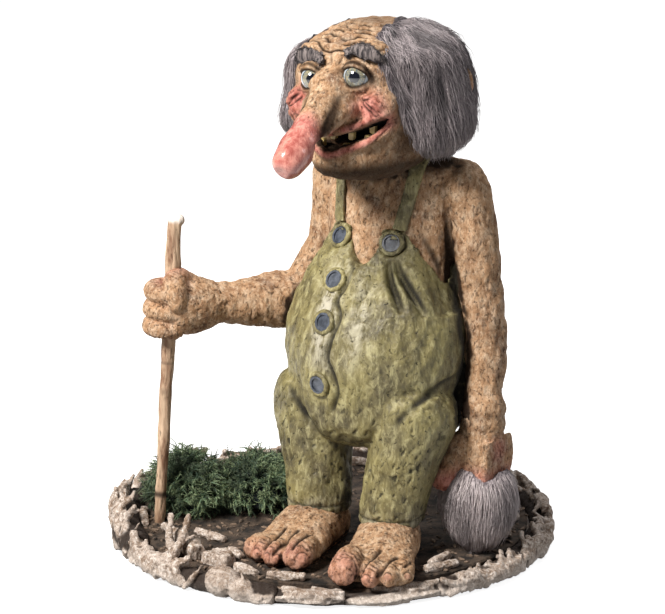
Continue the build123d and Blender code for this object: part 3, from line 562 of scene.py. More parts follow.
def discs_of(node):
    """The middle, two axes across and the radius in mm of each disc in a CAD node."""
    form = bmesh.new()
    form.from_mesh(solid_mesh(node))
    bmesh.ops.remove_doubles(form, verts=form.verts, dist=SEAM)
    discs = []
    for disc in shells_of(form):
        points = np.array([list(vert.co) for vert in disc]) / MM
        middle = points.mean(axis=0)
        axes = np.linalg.eigh(np.cov((points - middle).T))[1]
        radius = np.linalg.norm(points - middle, axis=1).max()
        discs.append((middle, axes[:, 2], axes[:, 1], radius))
    form.free()
    return discs


def press_behind(clay, node):
    """Presses the cloth back behind the buttons of a CAD node, so that none covers them."""
    margin, edge, depth = 2.5, 1.5, 3.6
    for middle, *axes, radius in discs_of(node):
        gap = np.linalg.norm(clay.points - middle, axis=1)
        press = ramp(gap, radius + margin, -edge) * (clay.normals[:, 1] < 0.3)
        clay.points[:, 1] += press * depth


def shells_of(form):
    """The connected parts of a mesh, as lists of vertices, the smallest first."""
    seen = set()
    shells = []
    for start in form.verts:
        if start in seen:
            continue
        shell, open_verts = [], [start]
        seen.add(start)
        while open_verts:
            vert = open_verts.pop()
            shell.append(vert)
            for edge in vert.link_edges:
                other = edge.other_vert(vert)
                if other not in seen:
                    seen.add(other)
                    open_verts.append(other)
        shells.append(shell)
    return sorted(shells, key=len)


class Clay:
    """The surface of one cast piece while it is worked on, in mm, with its paint layers."""

    def __init__(self, mesh):
        self.mesh = mesh
        self.count = len(mesh.vertices)
        self.points = points_of(mesh)
        self.pairs = values_of(mesh.edges, "vertices", 2, np.int32)
        self.links = np.zeros(self.count)
        np.add.at(self.links, self.pairs.ravel(), 1)
        self.paint = {layer: np.zeros(self.count) for layer in PAINT_LAYERS}
        self.settle()

    def settle(self):
        """Writes the points back to the mesh and reads its new normals."""
        self.mesh.vertices.foreach_set("co", (self.points * MM).astype(np.float32).ravel())
        self.mesh.update()
        self.normals = values_of(self.mesh.vertex_normals, "vector").astype(float)

    def averaged(self, values):
        """Each point's mean value over its neighbours."""
        total = np.zeros_like(values)
        np.add.at(total, self.pairs[:, 0], values[self.pairs[:, 1]])
        np.add.at(total, self.pairs[:, 1], values[self.pairs[:, 0]])
        links = self.links if values.ndim == 1 else self.links[:, None]
        return total / np.maximum(links, 1)

    def on_skin(self, rows, behind=1e9):
        """Points of the surface seen from the front at places given as (across, height)."""
        reach = 1.3
        origin = spot(0, 0, 0)
        forward = -self.points[:, 1]
        found = []
        for across, height in rows:
            place = origin + np.array((across, 0.0, height))
            aside = self.points - place
            gap = aside[:, 0] ** 2 + aside[:, 2] ** 2
            near = (gap < reach**2) & (forward < behind - origin[1])
            if not near.any():
                near = gap <= gap.min() + 1e-9
            choice = np.flatnonzero(near)[np.argmax(forward[near])]
            found.append((place[0], self.points[choice, 1], place[2]))
        return np.array(found)

    def line(self, rows, behind=1e9):
        """A smooth line on the surface through places given as (across, height)."""
        rows = np.array(rows, float)
        steps = max(6, int(np.linalg.norm(np.diff(rows, axis=0), axis=1).sum() / 1.5))
        return self.on_skin(curve_through(rows, steps), behind)

    def near(self, path):
        """Each point's distance from a path, and how far along the path its nearest place is."""
        nearest = np.full(self.count, 1e9)
        share = np.zeros(self.count)
        spans = np.linalg.norm(np.diff(path, axis=0), axis=1)
        total = max(spans.sum(), 1e-9)
        done = 0.0
        for start, end, span in zip(path, path[1:], spans):
            run = end - start
            along = np.clip(((self.points - start) @ run) / max(span**2, 1e-12), 0, 1)
            gap = np.linalg.norm(self.points - start - along[:, None] * run, axis=1)
            closer = gap < nearest
            nearest[closer] = gap[closer]
            share[closer] = (done + along[closer] * span) / total
            done += span
        return nearest, share

    def stroke(self, path, width, depth, fade=0.4, **paint):
        """Presses (or with a negative depth raises) the skin along a path, and paints there."""
        gap, share = self.near(path)
        press = np.exp(-((gap / (width / 2)) ** 2))
        if fade:
            press = press * np.clip(np.sin(np.pi * np.clip(share, 0.0, 1.0)) + 0.12, 0, 1) ** fade
        self.points -= self.normals * (press * depth)[:, None]
        self.brush(press, **paint)

    def brush(self, press, **paint):
        """Adds to layers of paint, where there isn't as much already."""
        for layer, amount in paint.items():
            self.paint[layer] = np.maximum(self.paint[layer], press * amount)

    def dab(self, centre, radius, lift=0.0, **paint):
        """Raises a soft lump at a place, or only paints there."""
        gap = np.linalg.norm((self.points - centre) / radius, axis=1)
        press = np.exp(-(gap**2))
        if lift:
            self.points += self.normals * (press * lift)[:, None]
        self.brush(press, **paint)

    def rough_up(self, size, height, grain=None, stretch=1.0, seed=0.0, how="soft", where=1.0):
        """Uneven skin: noise of the given size in mm lifts and sinks the surface."""
        lift = noise_at(drawn_out(self.points, grain, stretch) / size + seed)
        if how == "grooved":
            lift = 2.2 * np.abs(lift) - 0.5
        elif how == "ridged":
            lift = 0.5 - 2.2 * np.abs(lift)
        self.points += self.normals * (lift * height * where)[:, None]

    def pit(self, size, depth, grain=None, stretch=1.0, seed=0.0, limit=0.3, where=1.0, wash=0.8):
        """Small dents where the noise is lowest, which hold dark wash."""
        low = noise_at(drawn_out(self.points, grain, stretch) / size + seed)
        press = ramp(low, -limit, -0.16) * where
        self.points -= self.normals * (press * depth)[:, None]
        self.brush(press, wash=wash)

    def dig(self, outline, depth, ahead_of, edge=1.4, **paint):
        """Presses in what lies inside an outline of (across, height), behind a given depth."""
        rows = self.points - spot(0, 0, 0)
        flat = np.stack([rows[:, 0], rows[:, 2]], axis=1)
        inside = np.zeros(self.count, bool)
        gap = np.full(self.count, 1e9)
        outline = np.array(outline, float)
        for start, end in zip(outline, np.roll(outline, -1, axis=0)):
            run = end - start
            share = np.clip(((flat - start) @ run) / (run @ run), 0, 1)
            gap = np.minimum(gap, np.linalg.norm(flat - start - share[:, None] * run, axis=1))
            crosses = (start[1] > flat[:, 1]) != (end[1] > flat[:, 1])
            slope = run[0] / (run[1] if abs(run[1]) > 1e-9 else 1e-9)
            inside ^= crosses & (flat[:, 0] < start[0] + (flat[:, 1] - start[1]) * slope)
        front = inside & (self.normals[:, 1] < 0.3) & (-rows[:, 1] < ahead_of)
        press = np.where(front, np.clip(gap / edge, 0, 1), 0.0)
        self.points[:, 1] += press * depth
        self.brush(press, **paint)

    def clear_of(self, foot, along, radius):
        """Keeps the skin outside a round bore, such as the one a staff slides in."""
        _, across, gap = round_line(self.points, foot, along)
        near = gap < radius
        push = across[near] / np.maximum(gap[near], 1e-6)[:, None]
        self.points[near] += push * (radius - gap[near])[:, None]

    def kept_within(self, foot, along, radius, below):
        """Keeps a stick's lower length slim enough for the bore that it slides through."""
        height, across, gap = round_line(self.points, foot, along)
        thick = (gap > radius) & (height < below)
        pull = across[thick] / gap[thick][:, None]
        self.points[thick] -= pull * (gap[thick] - radius)[:, None]

    def hollows(self, strength, rounds=2):
        """Lets the dark wash run into every hollow of the finished relief."""
        hollow = ((self.averaged(self.points) - self.points) * self.normals).sum(axis=1)
        for _ in range(rounds):
            hollow = 0.5 * hollow + 0.5 * self.averaged(hollow)
        self.brush(np.clip(hollow * strength, 0, 1), wash=1.0)

    def paint_occlusion_shade(self, tree, reach, amount, off=2.5, rays=8):
        """Painted shade where something stands close in front of the skin, as under a chin."""
        chance = np.random.default_rng(7)
        cover, counted = np.zeros(self.count), np.zeros(self.count)
        for index in range(0, self.count, 4):
            normal = self.normals[index]
            start = Vector((self.points[index] + normal * off) * MM)
            hidden = 0.0
            for stray in chance.normal(size=(rays, 3)) * 0.55:
                heading = Vector(unit(normal + stray))
                hit, face, *_, gap = tree.ray_cast(start, heading, reach * MM)
                if hit is not None and face.dot(heading) < 0:
                    hidden += 1 - gap / (reach * MM)
            cover[index], counted[index] = hidden / rays, 1.0
        for _ in range(6):
            cover = 0.5 * cover + 0.5 * self.averaged(cover)
            counted = 0.5 * counted + 0.5 * self.averaged(counted)
        cover /= np.maximum(counted, 1e-6)
        self.brush(ramp(cover, 0.1, 0.42), wash=amount)

    def settle_wash_and_shade(self, strength, reach=0, amount=1.0):
        """Settles the relief, darkens its hollows and paints shade where the figure stands close
        by.
        """
        self.settle()
        self.hollows(strength)
        if reach:
            self.paint_occlusion_shade(surroundings(), reach, amount)

    def finished(self, name, material, slot, *replaced, body="figure"):
        """Puts the skin into the scene as a piece, with its paint as attributes."""
        self.settle()
        for layer, values in self.paint.items():
            attribute = self.mesh.attributes.new(layer, "FLOAT", "POINT")
            attribute.data.foreach_set("value", np.clip(values, 0, 1).astype(np.float32))
        return piece_from(self.mesh, name, material, replaced, body)


def strand_piece(name, strands, material):
    """Thin tapered strands, each a closed spindle; a strand is (points, radius, shade)."""
    sides = 3
    form = bmesh.new()
    shade_layer = form.verts.layers.float.new("strand")
    along_layer = form.verts.layers.float.new("along")
    for points, radius, shade in strands:
        last = len(points) - 1
        rings = []
        for index, point in enumerate(points):
            ahead = points[min(index + 1, last)] - points[max(index - 1, 0)]
            ahead = ahead / max(np.linalg.norm(ahead), 1e-9)
            side = np.cross(ahead, (0.31, 0.17, 0.93))
            side /= max(np.linalg.norm(side), 1e-9)
            other = np.cross(ahead, side)
            share = index / last
            if index == last:
                tip = form.verts.new((point * MM).tolist())
                tip[shade_layer], tip[along_layer] = shade, 1.0
                rings.append([tip])
                continue
            width = radius * (0.55 + 0.45 * min(1.0, share * 6)) * (1 - share**2.2 * 0.75)
            ring = []
            for step in range(sides):
                angle = 2 * math.pi * step / sides
                place = point + (side * math.cos(angle) + other * math.sin(angle)) * width
                vert = form.verts.new((place * MM).tolist())
                vert[shade_layer], vert[along_layer] = shade, share
                ring.append(vert)
            rings.append(ring)
        form.faces.new(rings[0])
        for lower, upper in zip(rings, rings[1:]):
            for step in range(sides):
                a, b = lower[step], lower[(step + 1) % sides]
                if len(upper) == 1:
                    form.faces.new((b, a, upper[0]))
                else:
                    form.faces.new((b, a, upper[step], upper[(step + 1) % sides]))
    return piece_from(mesh_from(form, name), name, material)


# What a user may change


class TrollSizes(bpy.types.PropertyGroup):
    """Sizes of the visible model."""

    skin_grid: FloatProperty(
        name="Skin grid",
        description="Size of the small faces of the cast skin",
        default=0.95 * MM,
        min=0.5 * MM,
        unit="LENGTH",
    )
    face_grid: FloatProperty(
        name="Face grid",
        description="Size of the small faces of the head and hands",
        default=0.62 * MM,
        min=0.4 * MM,
        unit="LENGTH",
    )
    strand_radius: FloatProperty(
        name="Hair thickness",
        description="Half the thickness of one strand of the fur hair",
        default=0.17 * MM,
        unit="LENGTH",
    )
    hair_count: IntProperty(
        name="Strands per tress",
        description="How many strands each side tress has",
        default=4040,
        min=100,
    )
    spray_count: IntProperty(
        name="Juniper sprays",
        description="How many small sprays each juniper clump has",
        default=350,
        min=10,
    )
    floor_width: FloatProperty(
        name="Floor width",
        description="Width of the pale floor",
        default=6.0,
        unit="LENGTH",
    )


def color_property(label, what, color):
    return FloatVectorProperty(
        name=label, description=what, subtype="COLOR", size=3, min=0.0, max=1.0, default=color
    )


class TrollColors(bpy.types.PropertyGroup):
    """Colours of the paint, fur, wood and glass."""

    skin_ochre: color_property("Skin ochre", "Main colour of the skin", tint(178, 140, 106))
    skin_light: color_property("Skin light", "Dry brushed high spots", tint(232, 210, 184))
    skin_brown: color_property("Skin brown", "Darker mottling of the skin", tint(110, 78, 58))
    skin_red: color_property("Skin red", "Red of the cheeks and nose", tint(158, 80, 74))
    skin_pink: color_property("Skin pink", "Pink of the nose, lips and toes", tint(216, 150, 136))
    nail: color_property("Nails", "Pale pink nails", tint(204, 146, 124))
    # The dark of the wash and shade layer: dark wash in the cracks, and painted shade in recesses
    # and on the shaded side
    wash: color_property("Dark wash", "Wash in the cracks and creases", tint(24, 14, 10))
    mouth_dark: color_property("Mouth", "Inside of the mouth", tint(14, 8, 8))
    cloth_olive: color_property("Cloth olive", "Main colour of the dungarees", tint(134, 124, 80))
    cloth_brown: color_property("Cloth brown", "Browner cloth", tint(90, 82, 56))
    cloth_pale: color_property("Cloth pale", "Dry brushed cloth", tint(196, 188, 142))
    cloth_grey: color_property("Cloth grey", "Grey dry brushing", tint(190, 184, 170))
    # Also the painted shade of the wash and shade layer on the cloth
    cloth_dark: color_property("Cloth dark", "Wash in the cloth's folds", tint(17, 14, 10))
    hair_root: color_property("Hair grey", "Darker strands", tint(92, 84, 88))
    hair_tip: color_property("Hair light", "Lighter strands", tint(186, 175, 177))
    hair_dark: color_property("Hair shadow", "Deep in the hair", tint(38, 36, 40))
    tuft_light: color_property("Tuft light", "Light fur of the tail's tuft", tint(204, 193, 193))
    brow_root: color_property("Brow black", "Darker brow fur", tint(40, 37, 40))
    brow_tip: color_property("Brow grey", "Lighter brow fur", tint(132, 122, 120))
    wood_beige: color_property("Driftwood beige", "Main driftwood", tint(186, 170, 158))
    wood_pale: color_property("Driftwood pale", "Bleached fibres", tint(232, 222, 214))
    wood_brown: color_property("Driftwood brown", "Browner wood", tint(140, 118, 100))
    # Also the painted shade in the gaps and recesses of the wood
    wood_dark: color_property("Driftwood dark", "Gaps in the wood", tint(40, 31, 27))
    twig_light: color_property("Twig light", "Bare wood of the staff", tint(206, 178, 150))
    twig_brown: color_property("Twig brown", "Bark of the staff", tint(128, 94, 72))
    # Also stands for the shade deep among the sprays
    needle_dark: color_property("Juniper dark", "Deep needles", tint(17, 36, 31))
    needle_green: color_property("Juniper green", "Needles in the light", tint(118, 144, 112))
    needle_tip: color_property("Juniper tips", "Growing tips", tint(176, 190, 140))
    # Near black: soil colour, and painted shade round and behind the feet
    soil_and_shade_dark: color_property("Soil dark", "Damp ground", tint(15, 12, 10))
    soil_light: color_property("Soil light", "Dry crumbs", tint(84, 69, 57))
    button_dark: color_property("Button", "Dark blue grey buttons", tint(34, 40, 50))
    button_light: color_property("Button rub", "Worn button", tint(84, 90, 102))
    tooth: color_property("Teeth", "Yellow teeth", tint(238, 208, 140))
    iris_amber: color_property("Iris amber", "Lighter iris", tint(150, 140, 112))
    iris_dark: color_property("Iris dark", "Darker iris", tint(88, 100, 104))
    iris_rim: color_property("Iris rim", "Ring round the iris", tint(70, 72, 76))
    pupil: color_property("Pupil", "Pupil", tint(10, 14, 26))
    eye_white: color_property("Eye white", "White of the eye", tint(186, 198, 206))


def sizes():
    return bpy.context.scene.troll_sizes


def colors():
    return bpy.context.scene.troll_colors


def material(name, make):
    """One material, made the first time that a piece asks for it."""
    if name not in MATERIALS:
        MATERIALS[name] = make()
    return MATERIALS[name]


def skin():
    return material("skin", lambda: leathery_skin(colors()))


def cloth():
    return material("cloth", lambda: painted_cloth(colors()))


# Stage


class MakeStage(bpy.types.Operator):
    """Makes the pale floor, the soft studio light and the camera"""

    bl_idname = "troll.make_stage"
    bl_label = "Stage"

    # Where the camera stands, in degrees and metres, and how wide its view is at the figure
    azimuth = 34.0
    elevation = 15.0
    camera_distance = 1.6
    aim = Vector((0.0, 0.0, 0.131))
    frame_width = 0.36575
    # The light that the floor adds for the camera, and the room's light on the figure
    floor_glow = 0.86
    room_light = 0.13

    def execute(self, context):
        self.make_floor()
        self.make_room()
        self.make_lights()
        self.make_camera()
        context.scene.view_settings.view_transform = "Standard"
        return {"FINISHED"}

    def make_floor(self):
        """A floor that looks almost white to the camera and takes a soft shadow."""
        form = bmesh.new()
        bmesh.ops.create_circle(form, cap_ends=True, segments=96, radius=sizes().floor_width / 2)
        board = Board("pale_floor")
        path = board.node("ShaderNodeLightPath")
        camera_ray = Shade(board, path.socket.node.outputs["Is Camera Ray"])
        glossy_ray = Shade(board, path.socket.node.outputs["Is Glossy Ray"])
        seen = board.maths("MAXIMUM", camera_ray, glossy_ray)
        shade = board.blend(seen, (0.3, 0.3, 0.3), (0.62, 0.62, 0.62))
        matt = board.node("ShaderNodeBsdfDiffuse", None, {"Color": shade})
        sockets = {"Color": (1, 1, 1), "Strength": seen * self.floor_glow}
        glow = board.node("ShaderNodeEmission", None, sockets)
        both = board.node("ShaderNodeAddShader", None, {0: matt, 1: glow})
        board.node("ShaderNodeOutputMaterial", None, {"Surface": both})
        floor = bpy.data.objects.new("floor", mesh_from(form, "floor"))
        floor.data.materials.append(board.material)
        bpy.context.collection.objects.link(floor)

    def make_room(self):
        """A white room: the camera sees it at full strength, the figure is lit by a part of it."""
        world = bpy.data.worlds.new("pale_room")
        bpy.context.scene.world = world
        world.use_nodes = True
        tree = world.node_tree
        back = tree.nodes["Background"]
        path = tree.nodes.new("ShaderNodeLightPath")
        seen = tree.nodes.new("ShaderNodeMath")
        seen.operation = "MAXIMUM"
        seen.inputs[1].default_value = self.room_light
        tree.links.new(path.outputs["Is Camera Ray"], seen.inputs[0])
        tree.links.new(seen.outputs[0], back.inputs["Strength"])
        back.inputs["Color"].default_value = (1.0, 1.0, 1.0, 1.0)

    def make_lights(self):
        # Each row: name, azimuth and elevation from the figure, distance, width, power, colour
        lamps = (
            ("key_light", -14.0, 42.0, 1.3, 0.4, 31.0, (1.0, 0.97, 0.92)),
            ("side_light", 100.0, 28.0, 1.4, 0.5, 3.0, (0.96, 0.98, 1.0)),
            ("back_light", 190.0, 55.0, 1.5, 0.8, 8.0, (1.0, 1.0, 1.0)),
        )
        for name, azimuth, elevation, distance, width, power, color in lamps:
            lamp = bpy.data.lights.new(name, "AREA")
            lamp.shape = "DISK"
            lamp.size = width
            lamp.energy = power
            lamp.color = color
            holder = bpy.data.objects.new(name, lamp)
            holder.location = self.aim + Vector(toward(azimuth, elevation)) * distance
            facing = self.aim - holder.location
            holder.rotation_euler = facing.to_track_quat("-Z", "Y").to_euler()
            bpy.context.collection.objects.link(holder)

    def make_camera(self):
        lens = bpy.data.cameras.new("camera")
        lens.sensor_fit = "HORIZONTAL"
        lens.sensor_width = 36.0
        lens.lens = 36.0 * self.camera_distance / self.frame_width
        camera = bpy.data.objects.new("camera", lens)
        away = Vector(toward(self.azimuth, self.elevation))
        camera.location = self.aim + away * self.camera_distance
        camera.rotation_euler = (-away).to_track_quat("-Z", "Y").to_euler()
        bpy.context.collection.objects.link(camera)
        bpy.context.scene.camera = camera


# Cast body


class MakeTorso(bpy.types.Operator):
    """Makes the bare chest with both arms, as one bark-like skin"""

    bl_idname = "troll.make_torso"
    bl_label = "Chest and arms"

    # How much of the hand's own radius the wrist's roll of clay has
    wrist_share = 0.97

    def execute(self, context):
        grid = sizes().skin_grid / MM
        nodes = ("torso", "left_arm", "right_arm", "neck_dowel")
        clay = Clay(fused("chest_and_arms", nodes, grid, 14, self.extra_clay))
        clay.rough_up(10.0, 1.2, UP, 1.8, seed=3.0)
        self.model_chest(clay)
        clay.rough_up(4.2, 0.75, UP, 1.8, seed=7.0)
        clay.rough_up(2.4, 0.34, UP, 2.0, seed=9.0, how="ridged")
        clay.pit(1.9, 0.4, UP, 2.2, seed=13.0, limit=0.38, wash=0.6)
        clay.settle_wash_and_shade(2.8, 26.0, 1.0)
        clay.finished("chest_and_arms", skin(), "skin", *nodes[:3])
        return {"FINISHED"}

    def extra_clay(self, form):
        """Shoulders that blend the arms into the chest, and the left wrist."""
        shoulder = ((20, 12, 196), (30, 6, 203), (40, 0, 200))
        armpit = ((30, 4, 190), (34, 2, 176))
        for rows, radii in ((shoulder, (9, 9.5, 11)), (armpit, (11, 8))):
            for side in (1, -1):
                add_roll(form, spots(rows, side), radii)
        middle, radius = self.wrist("left_hand")
        rise = np.array((0, 0, 4.0))
        add_roll(form, (middle + rise, middle - rise), (radius * self.wrist_share,) * 2)

    @staticmethod
    def wrist(node):
        """The middle and radius in mm of the top of a hanging hand, where the arm joins it."""
        points = points_of(solid_mesh(node))
        top = points[points[:, 2] > points[:, 2].max() - 1.0]
        middle = (top.min(axis=0) + top.max(axis=0)) / 2
        return middle, np.linalg.norm(top - middle, axis=1).max()

    def model_chest(self, clay):
        """Breastbone, muscles and the hollows beside the straps, with painted shade in the left
        armpit and on the side turned from the key light.
        """
        clay.stroke(clay.line([(0, 196), (0, 180), (1, 166)]), 7, 0.9, wash=0.35)
        muscle = ((4, 184), (12, 178), (24, 180), (33, 190))
        hollow = ((30, 172), (36, 158), (38, 146))
        for side in (1, -1):
            clay.stroke(clay.line(sided(muscle, side)), 6, -0.9)
        for side in (1, -1):
            clay.stroke(clay.line(sided(hollow, side)), 5, 1.2, wash=0.9)
        # Painted shadow in the slit between the left arm and the chest
        armpit = spots(((36, 12, 182), (37, 10, 170), (38, 8, 158), (40, 7, 142)))
        clay.stroke(armpit, 5.0, 0.6, 0.3, wash=1.0)
        # Painted shade on the side turned from the key light
        turned = clay.normals @ unit(SHADE_SIDE)
        clay.brush(np.clip(turned - 0.3, 0, 1), wash=0.55)


class MakeDungarees(bpy.types.Operator):
    """Makes the belly, bib and legs of the dungarees as one moulded garment"""

    bl_idname = "troll.make_dungarees"
    bl_label = "Dungarees"

    # The folds that the left button drags, as rows of (across, height) in mm
    dragged_folds = (
        ((17.5, 159.0), (24.0, 148.0), (31.0, 137.0)),
        ((22.0, 159.0), (32.0, 147.0), (41.5, 134.5)),
    )
    # Painted shadow under the hanging left arm, as across, forward and height in mm
    arm_shadow = (
        (36, 0, 160), (39, 4, 150), (41, 9, 141), (50, 18, 125),
        (49, 14, 104), (53, 22, 86), (54, 28, 74),
    )
    # Where the belly hangs over the legs, in the same terms: creases pressed in and painted black,
    # partly as painted shade under the belly
    belly_creases = (
        ((-34, 56, 86), (-25, 57, 75), (-16, 56, 66)),
        ((30, 55, 69), (37, 57, 80), (44, 50, 89), (49, 36, 95), (50, 20, 98)),
    )

    def execute(self, context):
        grid = sizes().skin_grid / MM
        nodes = ("dungarees_belly", "left_trouser_leg", "right_trouser_leg")
        rods = ("left_leg_rod", "right_leg_rod")
        clay = Clay(fused("dungarees", nodes + rods, grid, 6, self.extra_clay))
        clay.rough_up(15.0, 1.3, UP, 1.3, seed=11.0)
        self.fold(clay)
        clay.rough_up(5.0, 0.8, (0.25, 0.0, 1.0), 1.9, seed=17.0)
        clay.rough_up(2.8, 0.32, (0.25, 0.0, 1.0), 1.8, seed=19.0, how="ridged")
        low_down = np.clip((spot(0, 0, 150)[2] - clay.points[:, 2]) / 90, 0.25, 1.0)
        clay.pit(2.3, 0.6, (0.6, 0.0, 1.0), 2.4, seed=21.0, limit=0.36, where=low_down)
        clay.settle_wash_and_shade(2.4, 26.0, 1.0)
        clay.finished("dungarees", cloth(), "cloth", *nodes)
        return {"FINISHED"}

    def extra_clay(self, form):
        """The loose seat of the dungarees, which fills the view behind the hanging arm."""
        rows = ((28, 2, 60), (36, 0, 76), (40, -3, 98), (41, -3, 122), (36, -2, 150))
        add_roll(form, spots(rows), (8, 10, 12, 12, 8))
        add_roll(form, spots(rows[2:], -1) - (0, 2, 0), (8, 12, 8))

    def fold(self, clay):
        """The fly's wavy seam, the dragged folds under the left button and the creases, with
        painted shade on downward faces, on the side turned from the key light and under the left
        arm.
        """
        seam = [(-1, 157), (-1, 147), (-4, 139), (0, 130), (-3, 118), (-4, 109)]
        seam += [(1, 99), (3, 91), (-1, 80)]
        clay.stroke(clay.line(seam), 2.4, 1.9, 0.15, wash=1.0)
        clay.stroke(clay.line([(across - 3.0, height) for across, height in seam]), 3.4, -0.9, 0.2)
        clay.stroke(clay.line([(-9, 156), (-10, 132), (-9, 106)]), 15, 0.0, bare=1.0)
        clay.stroke(clay.line([(8, 150), (12, 128), (10, 108)]), 11, 0.0, bare=0.6)
        for drag in self.dragged_folds:
            clay.stroke(clay.line(drag), 3.4, 4.2, 0.25, wash=1.0)
            clay.stroke(clay.line(drag), 4.6, 0.0, 0.25, wash=1.0)
            beside = [(across - 4.0, height) for across, height in drag]
            clay.stroke(clay.line(beside), 4.0, -1.4, 0.3)
        clay.stroke(clay.line([(14, 158), (12, 148), (8, 136)]), 4.5, 1.2, 0.3, wash=0.45)
        for crease in self.belly_creases:
            clay.stroke(spots(crease), 5.0, 2.0, 0.3, wash=1.0)
        for node in ("left_trouser_leg", "right_trouser_leg"):
            low, high = box_of(node)
            above = clay.points[:, 2] - low[2]
            inside = (clay.points[:, 0] > low[0] - 2) & (clay.points[:, 0] < high[0] + 2)
            hem = np.exp(-(((above - 5.0) / 1.0) ** 2)) * inside
            clay.points -= clay.normals * (hem * 0.8)[:, None]
            clay.brush(hem, wash=0.7)
            clay.brush(np.clip(1 - above / 12, 0, 1) * inside, bare=0.6)
        # Painted shade on the faces that look down, such as under the belly
        below = np.clip(-clay.normals[:, 2] - 0.1, 0, 1) * (clay.points[:, 2] > GROUND_Z + 62)
        clay.brush(below, wash=1.0)
        # Painted shade on the side turned from the key light
        turned = clay.normals @ unit(SHADE_SIDE)
        clay.brush(np.clip(turned - 0.15, 0, 1), wash=0.85)
        clay.stroke(spots(self.arm_shadow), 9.0, 0.0, 0, wash=1.0)
        press_behind(clay, "strap_buttons")


class MakeStraps(bpy.types.Operator):
    """Makes the two straps, thin strips of the same moulded cloth"""

    bl_idname = "troll.make_straps"
    bl_label = "Straps"

    def execute(self, context):
        for name in ("left_strap", "right_strap"):
            clay = Clay(fused(name + "_cloth", (name,), 0.55, 4))
            clay.rough_up(4.0, 0.35, UP, 2.0, seed=31.0)
            clay.rough_up(1.8, 0.2, UP, 2.5, seed=33.0, how="ridged")
            press_behind(clay, "strap_buttons")
            clay.settle_wash_and_shade(2.0, 14.0, 0.8)
            clay.finished(name + "_cloth", cloth(), "cloth", name)
        return {"FINISHED"}


class MakeButtons(bpy.types.Operator):
    """Makes the painted button discs and the rolled cloth rim round each"""

    bl_idname = "troll.make_buttons"
    bl_label = "Buttons"

    # The radius of the roll of cloth, in mm
    rim_thickness = 1.55

    def execute(self, context):
        dark, light = colors().button_dark, colors().button_light
        shine = {"Specular_IOR_Level": 0.6}
        finish = plain_finish("button_paint", dark, light, 0.004, 0.34, 0.0002, **shine)
        for node in ("fly_buttons", "strap_buttons"):
            dress((node,), finish)
            self.make_rims(node)
        return {"FINISHED"}

    def make_rims(self, node):
        """A rolled rim of cloth round each button of a CAD node, with painted shadow along its
        inner edge.
        """
        rims = bmesh.new()
        for middle, first, second, radius in discs_of(node):
            reach = radius + self.rim_thickness * 0.25
            for turn in np.linspace(0, 2 * math.pi, 29)[:-1]:
                place = middle + (first * math.cos(turn) + second * math.sin(turn)) * reach
                add_bead(rims, place, self.rim_thickness)
        rough = mesh_from(rims, node + "_rims")
        clay = Clay(fused(node + "_rims", (), 0.4, 4, lambda one: one.from_mesh(rough), True))
        bpy.data.meshes.remove(rough)
        clay.rough_up(1.6, 0.3, seed=35.0)
        # Painted shadow where each rim meets its button
        for middle, *axes, radius in discs_of(node):
            gap = np.linalg.norm(clay.points - middle, axis=1)
            clay.brush(ramp(gap, radius + 0.2, -0.8), wash=1.0)
        clay.settle_wash_and_shade(1.6)
        clay.finished(node + "_rims", cloth(), "cloth")


